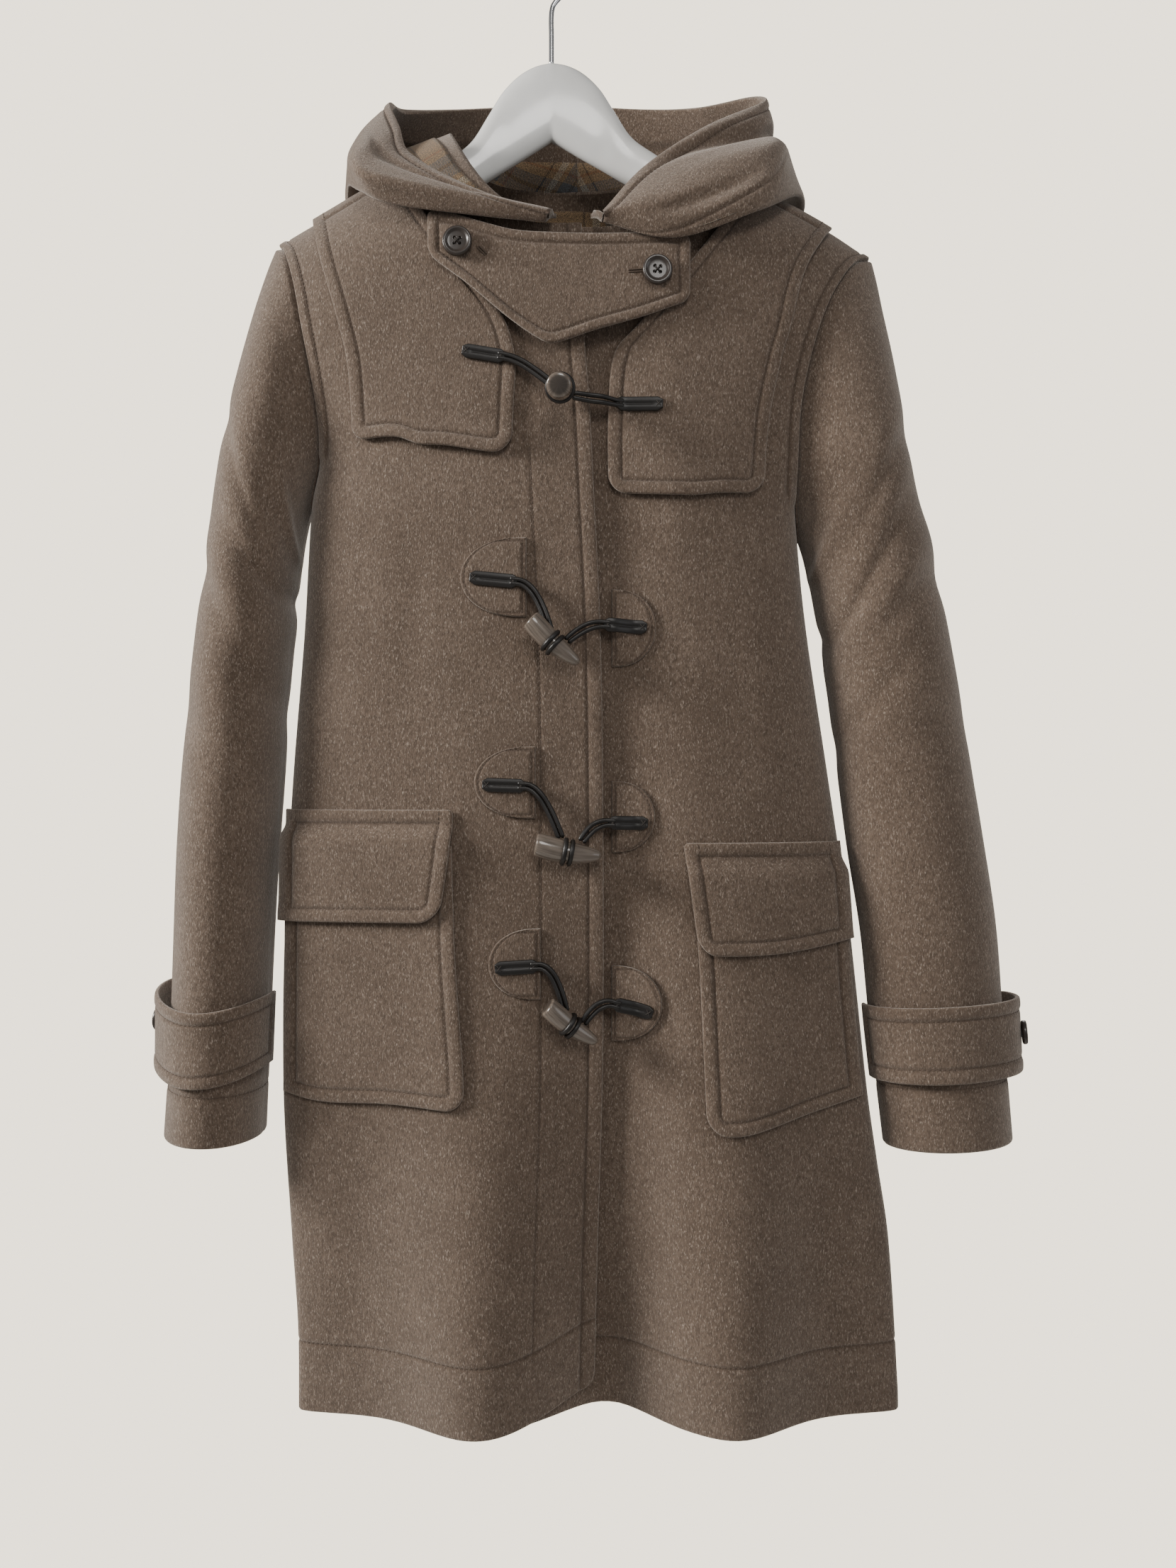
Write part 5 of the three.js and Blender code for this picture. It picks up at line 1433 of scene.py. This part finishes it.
def patch(name, straight, far, top, bottom, lift):
    """A half-round patch, sewn nearly flush: x runs from its straight side to a round one, whose
    reach is a power of the cosine of its turn."""
    share, plus = spaced(NEAR_PATCH, NEAR_PATCH, 26)
    turn = np.linspace(-0.485, 0.485, 50)[None, :] * np.pi
    span = abs(far - straight) * np.cos(turn) ** 0.8
    u = clamp(share[:, None] + plus[:, None] / np.maximum(span, 10))
    x = straight + (far - straight) / abs(far - straight) * span * u
    z = (top + bottom) / 2 - (top - bottom) / 2 * np.sin(turn) + 0 * x
    from_ends = 0.5 * (top - bottom) * (1 - np.abs(np.sin(turn)))
    away = np.minimum(np.minimum(u, 1 - u) * span, from_ends)
    relief = 0.4 * smooth(away / 3) - 0.7 * bell(away - PATCH_STITCH, 1.0)
    sink = front_sink(x, z)
    outer = on_face(-1, x, z, lift + PATCH_THICK + relief - rolled(away), sink)
    inner = on_face(-1, x, z, lift - 0.9 + 0 * x, sink)
    # Painted shade along the stitch line and at the patch's own edge
    marks = 0.55 * bell(away - PATCH_STITCH, 1.0) + 0.3 * bell(away, 0.8)
    out = on_face(-1, x, z, lift + 5.0, sink) - inner
    k = NEAR_PATCH.index(PATCH_STITCH)
    for column in (-1 - k, k):
        sew("patch_" + name, outer[column, 2:-2], out[column, 2:-2])
    wall_of("patch_" + name, outer, inner, WOOL, marks=marks)


for which, row in PATCHES.items():
    patch(which, *row)

# Leather tabs, thongs and horn toggles

TAB_WIDTH, TAB_THICK, THONG = 9.7, 2.1, 1.6
NEAR_LEATHER = [0, 0.12, 0.4, 0.8, 1.4, 2.4, 3.6]
CROSS_AT, CROSS_LONG, CROSS_WIDE, CROSS_THREAD = 3.1, 1.9, 2.3, 0.42
ON_PATCH = ON_PANEL + PATCH_THICK + 0.4
# Each leather: x and z of its outer end, of its inner one and of the thong's end, and its lift
LEATHERS = {
    "left_1": (-59.8, -311.9, -30, -317.2, 5, -340, ON_YOKE),
    "left_2": (-54.9, -468.8, -21.6, -472.2, 1, -508, ON_PATCH),
    "left_3": (-46.1, -612.5, -16.3, -613.5, 8, -650, ON_PATCH),
    "left_4": (-37.3, -739.1, -7.9, -737.6, 10, -769, ON_PATCH),
    "right_1": (78.6, -348.5, 46.3, -347.6, 16, -345, ON_YOKE),
    "right_2": (67.8, -503, 37.5, -501.5, 12, -514, ON_PATCH),
    "right_3": (68.8, -639.4, 41, -638.8, 22, -652, ON_PATCH),
    "right_4": (72.7, -771.8, 44.8, -764, 22, -777, ON_PATCH + 1.2),
}
# Each toggle: x, z and lift of its butt, the same of its tip, and its radius
TOGGLES = {
    "toggle_1": (8, -352, 52, 9, -338, 7.5, 8.6),
    "toggle_2": (-12.8, -499, 14.7, 20.4, -529.9, 13.6, 7.7),
    "toggle_3": (-10.4, -653, 12.7, 36, -661.4, 11.7, 8.3),
    "toggle_4": (-3.5, -763, 14, 32.1, -789, 13.2, 7.3),
}
HORN_OUTLINE = table("along radius", [
    [0, 0.80], [0.04, 0.93], [0.15, 1], [0.4, 0.97], [0.65, 0.84], [0.85, 0.62], [0.95, 0.45], [1, 0.36],
])
HORN_BOW, HORN_SIDES, THONG_SLACK = 1.6, 40, 0.5


def strap_sink(x, z):
    """How far a thong sinks with the under front, past the lapping edge."""
    return under_lap(x, z) * smooth((x - edge_x(z) - 8) / 18)


def horn_axis(name):
    """Butt, tip and the two directions across a horn."""
    butt_x, butt_z, butt_lift, tip_x, tip_z, tip_lift, radius = TOGGLES[name]
    butt = on_face(-1, np.array(butt_x), np.array(butt_z), butt_lift)
    tip = on_face(-1, np.array(tip_x), np.array(tip_z), tip_lift)
    ahead = unit(tip - butt)
    up = unit(np.array([0, 0, 1.0]) - ahead * ahead[2])
    return butt, tip, up, np.cross(ahead, up), radius


def horn(name):
    """A horn toggle: its outline turned about a slightly bowed axis, with a rounded butt and tip
    and a shallow waist where the thongs go round."""
    butt, tip, up, out, radius = horn_axis(name)
    length = np.linalg.norm(tip - butt)
    along = eased(90)
    reach = read(HORN_OUTLINE, "along", "radius", along) * radius
    reach = reach * (1 - clamp(1 - along * length / 2.0) ** 2.6) ** 0.5
    reach = reach * (1 - clamp(1 - (1 - along) * length / 3.2) ** 2.2) ** 0.5
    reach = reach - 0.7 * bell(along - 0.48, 0.05)
    bow = HORN_BOW * np.sin(along * np.pi)
    middle = butt + along[:, None] * (tip - butt) - bow[:, None] * up
    turn = np.linspace(0, 2 * np.pi, HORN_SIDES, endpoint=False)
    rings = middle[:, None] + np.maximum(reach, 0.05)[:, None, None] * (
        np.cos(turn)[None, :, None] * up + np.sin(turn)[None, :, None] * out)
    around, down = np.abs(turn[:, None] - np.pi) * radius, along[None, :] * length
    cut = np.stack(np.broadcast_arrays(around, down), -1)
    uv = np.concatenate([cut.reshape(-1, 2), [[0, 0], [0, length]]])
    points, faces = closed_tube(rings)
    dark = 0.8 * smooth((0.022 - along) / 0.012)
    marks = np.concatenate([np.tile(dark, HORN_SIDES), [0.8, 0.0]])
    mesh_of(name, points, faces, HORN, "horn", uv, marks)


def ring_round(name, share):
    """A loop of thong round a horn at a share of its length."""
    butt, tip, up, out, radius = horn_axis(name)
    turn = np.linspace(0, 2 * np.pi, 41)
    reach = read(HORN_OUTLINE, "along", "radius", share) * radius + THONG_SLACK
    middle = lerp(butt, tip, share) - HORN_BOW * math.sin(share * math.pi) * up
    path = middle + reach * (np.cos(turn)[:, None] * up + np.sin(turn)[:, None] * out)
    return closed_tube(swept(path, THONG, 12, unit(tip - butt)))


def leather(which):
    """A leather tab with chamfered ends and a groove down its middle, a doubled thong that
    leaves its inner end, and the thong's loop round the horn."""
    start_x, start_z, join_x, join_z, end_x, end_z, lift = LEATHERS[which]
    start, join, end = np.array([[start_x, start_z], [join_x, join_z], [end_x, end_z]])
    length = np.linalg.norm(join - start)
    ahead = (join - start) / length
    over = np.array([-ahead[1], ahead[0]])
    share, plus = spaced(NEAR_LEATHER, NEAR_LEATHER, 30)
    s = (share * length + plus)[:, None]
    half = TAB_WIDTH / 2 * (1 - 0.45 * clamp(1 - np.minimum(s, length - s) / 3.4))
    t = half * np.sin(np.linspace(-1, 1, 33)[None] * np.pi / 2)
    away = np.minimum(half - np.abs(t), np.minimum(s, length - s))
    x, z = start[0] + ahead[0] * s + over[0] * t, start[1] + ahead[1] * s + over[1] * t
    inside = smooth((np.minimum(s, length - s) - 6.0) / 1.5)
    relief = -0.55 * bell(t, 0.55) * inside + 0.35 * bell(np.abs(t) - 2.3, 1.6)
    edge = 0.9 - np.sqrt(np.maximum(0.81 - np.clip(0.9 - away, 0, 0.9) ** 2, 0))
    sink = strap_sink(x, z)
    outer = on_face(-1, x, z, lift + TAB_THICK + relief - edge, sink)
    inner = on_face(-1, x, z, lift + 0 * x, sink)
    tab = np.concatenate([outer.reshape(-1, 3), inner.reshape(-1, 3)]), wall_faces(*outer.shape[:2])
    lead = join + (join - start) * 0.4
    run = np.linspace(-0.16, 1, 60)[:, None]
    free = np.maximum(run, 0)
    curve = lerp(lerp(join, lead, free), lerp(lead, end, free), free)
    curve = curve + ahead * np.minimum(run, 0) * 36
    tangent = unit(np.gradient(curve, axis=0))
    high = lift + 1.5 + 1.6 * smooth(run[:, 0] * 2) + 2.0 * smooth(run[:, 0] * 2 - 1)
    parts = [tab]
    for side in (-1, 1):
        apart = 1.62 + 0.5 * np.sin(np.pi * clamp(run)) * (which[0] == "r")
        flat = curve + side * apart * np.stack([-tangent[:, 1], tangent[:, 0]], axis=-1)
        line = on_face(-1, flat[:, 0], flat[:, 1], high, strap_sink(flat[:, 0], flat[:, 1]))
        parts.append(cord(line, THONG, 12))
    toggle = "toggle_" + which[-1]
    parts.append(ring_round(toggle, 0.45 if which[0] == "l" else 0.55))
    mesh_of("leather_" + which, *joined(parts), LEATHER, "leather")
    step = np.linspace(-1, 1, 9)
    for at in (CROSS_AT, length - CROSS_AT):
        for lean in (-1, 1):
            long, wide = at + CROSS_LONG * step, lean * CROSS_WIDE * step
            x, z = (start[c] + ahead[c] * long + over[c] * wide for c in (0, 1))
            line = on_face(-1, x, z, lift + TAB_THICK + 0.35, strap_sink(x, z))
            stitch = line[4:5], (line[-1:] - line[:1]) / 2, np.array([[0.0, -1.0, 0.0]]), CROSS_THREAD
            SEWN.setdefault("leather_" + which, []).append(stitch)


for name in TOGGLES:
    horn(name)
for which in LEATHERS:
    leather(which)

# The stitches, one mesh for each piece

for name, lines in SEWN.items():
    thread, slot = (DARK_THREAD, "leather") if name.startswith("leather") else (THREAD, "wool")
    mesh_of("stitches_" + name, *joined([beads(*line) for line in lines]), thread, slot, added=True)

# Hook

HOOK_ROUTE = [[0, -81.5], [0, -60], [0, -44], [1.6, -36.5], [8, -29], [14, -22]]
WIRE, HOOK_RADIUS = 1.9, 16.0


def hook():
    """A straight stem that swings out and over in a half round: a wire along that line."""
    turn = np.linspace(0, 1.08 * np.pi, 9)
    arc = np.stack([HOOK_RADIUS * np.cos(turn), WIRE - HOOK_RADIUS + HOOK_RADIUS * np.sin(turn)], axis=-1)
    route = np.concatenate([HOOK_ROUTE, arc])
    run = run_of(route)
    rows = {"run": run, "x": route[:, 0], "z": route[:, 1]}
    at = np.linspace(0, run[-1], 160)
    path = stack(read(rows, "run", "x", at), 0 * at, read(rows, "run", "z", at))
    mesh_of("hanger_hook", *cord(path, WIRE, 24), CHROME, "hook")


hook()

# Camera, light and floor

CENTRE = (0.02, 0, -0.6)
camera_data = bpy.data.cameras.new("camera")
camera_data.lens = 27.03
camera_data.sensor_width = 36
camera = bpy.data.objects.new("camera", camera_data)
camera.location = (0.027, -0.870, -0.612)
camera.rotation_euler = (math.radians(90), 0, 0)
bpy.context.scene.collection.objects.link(camera)
bpy.context.scene.camera = camera


def area_light(name, place, size, power, colour):
    """A round soft light that faces the middle of the coat."""
    data = bpy.data.lights.new(name, "AREA")
    data.shape = "DISK"
    data.size, data.energy, data.color = size, power, colour
    lamp = bpy.data.objects.new(name, data)
    lamp.location = place
    away = np.array(place) - np.array(CENTRE)
    flat = math.hypot(away[0], away[1])
    lamp.rotation_euler = (math.atan2(flat, away[2]), 0, math.atan2(away[0], -away[1]))
    bpy.context.scene.collection.objects.link(lamp)


area_light("key", (-2.5, -0.68, 0.45), 0.9, 112, (1.0, 0.965, 0.92))
area_light("front", (0.3, -2.4, 0.9), 1.0, 21, (1.0, 0.975, 0.94))
area_light("fill", (2.0, -1.3, -0.2), 1.4, 6, (0.96, 0.97, 1.0))
area_light("back", (0.6, 2.1, 0.5), 1.6, 24, (1.0, 0.98, 0.95))

world = bpy.data.worlds.new("pale_room")
bpy.context.scene.world = world
world.use_nodes = True
sky = world.node_tree
soft = sky.nodes["Background"]
soft.inputs["Color"].default_value = (0.80, 0.79, 0.77, 1)
soft.inputs["Strength"].default_value = 0.34
wall = sky.nodes.new("ShaderNodeBackground")
wall.inputs["Color"].default_value = (0.89, 0.80, 0.65, 1)
wall.inputs["Strength"].default_value = 2.95
seen = sky.nodes.new("ShaderNodeLightPath")
choose = sky.nodes.new("ShaderNodeMixShader")
sky.links.new(seen.outputs["Is Camera Ray"], choose.inputs[0])
sky.links.new(soft.outputs[0], choose.inputs[1])
sky.links.new(wall.outputs[0], choose.inputs[2])
sky.links.new(choose.outputs[0], sky.nodes["World Output"].inputs["Surface"])

FLOOR_Z, FLOOR_RADIUS = -1.9, 1.05
ring = np.linspace(0, 2 * np.pi, 97)[:-1]
floor_data = bpy.data.meshes.new("floor")
floor_points = [
    (CENTRE[0] + FLOOR_RADIUS * math.cos(t), FLOOR_RADIUS * math.sin(t), FLOOR_Z) for t in ring]
floor_data.from_pydata(floor_points, [], [list(range(len(floor_points)))])
floor = bpy.data.objects.new("floor", floor_data)
bpy.context.scene.collection.objects.link(floor)
floor.data.materials.append(plain_finish("floor_plain", (0.7, 0.67, 0.62, 1), 0.8))
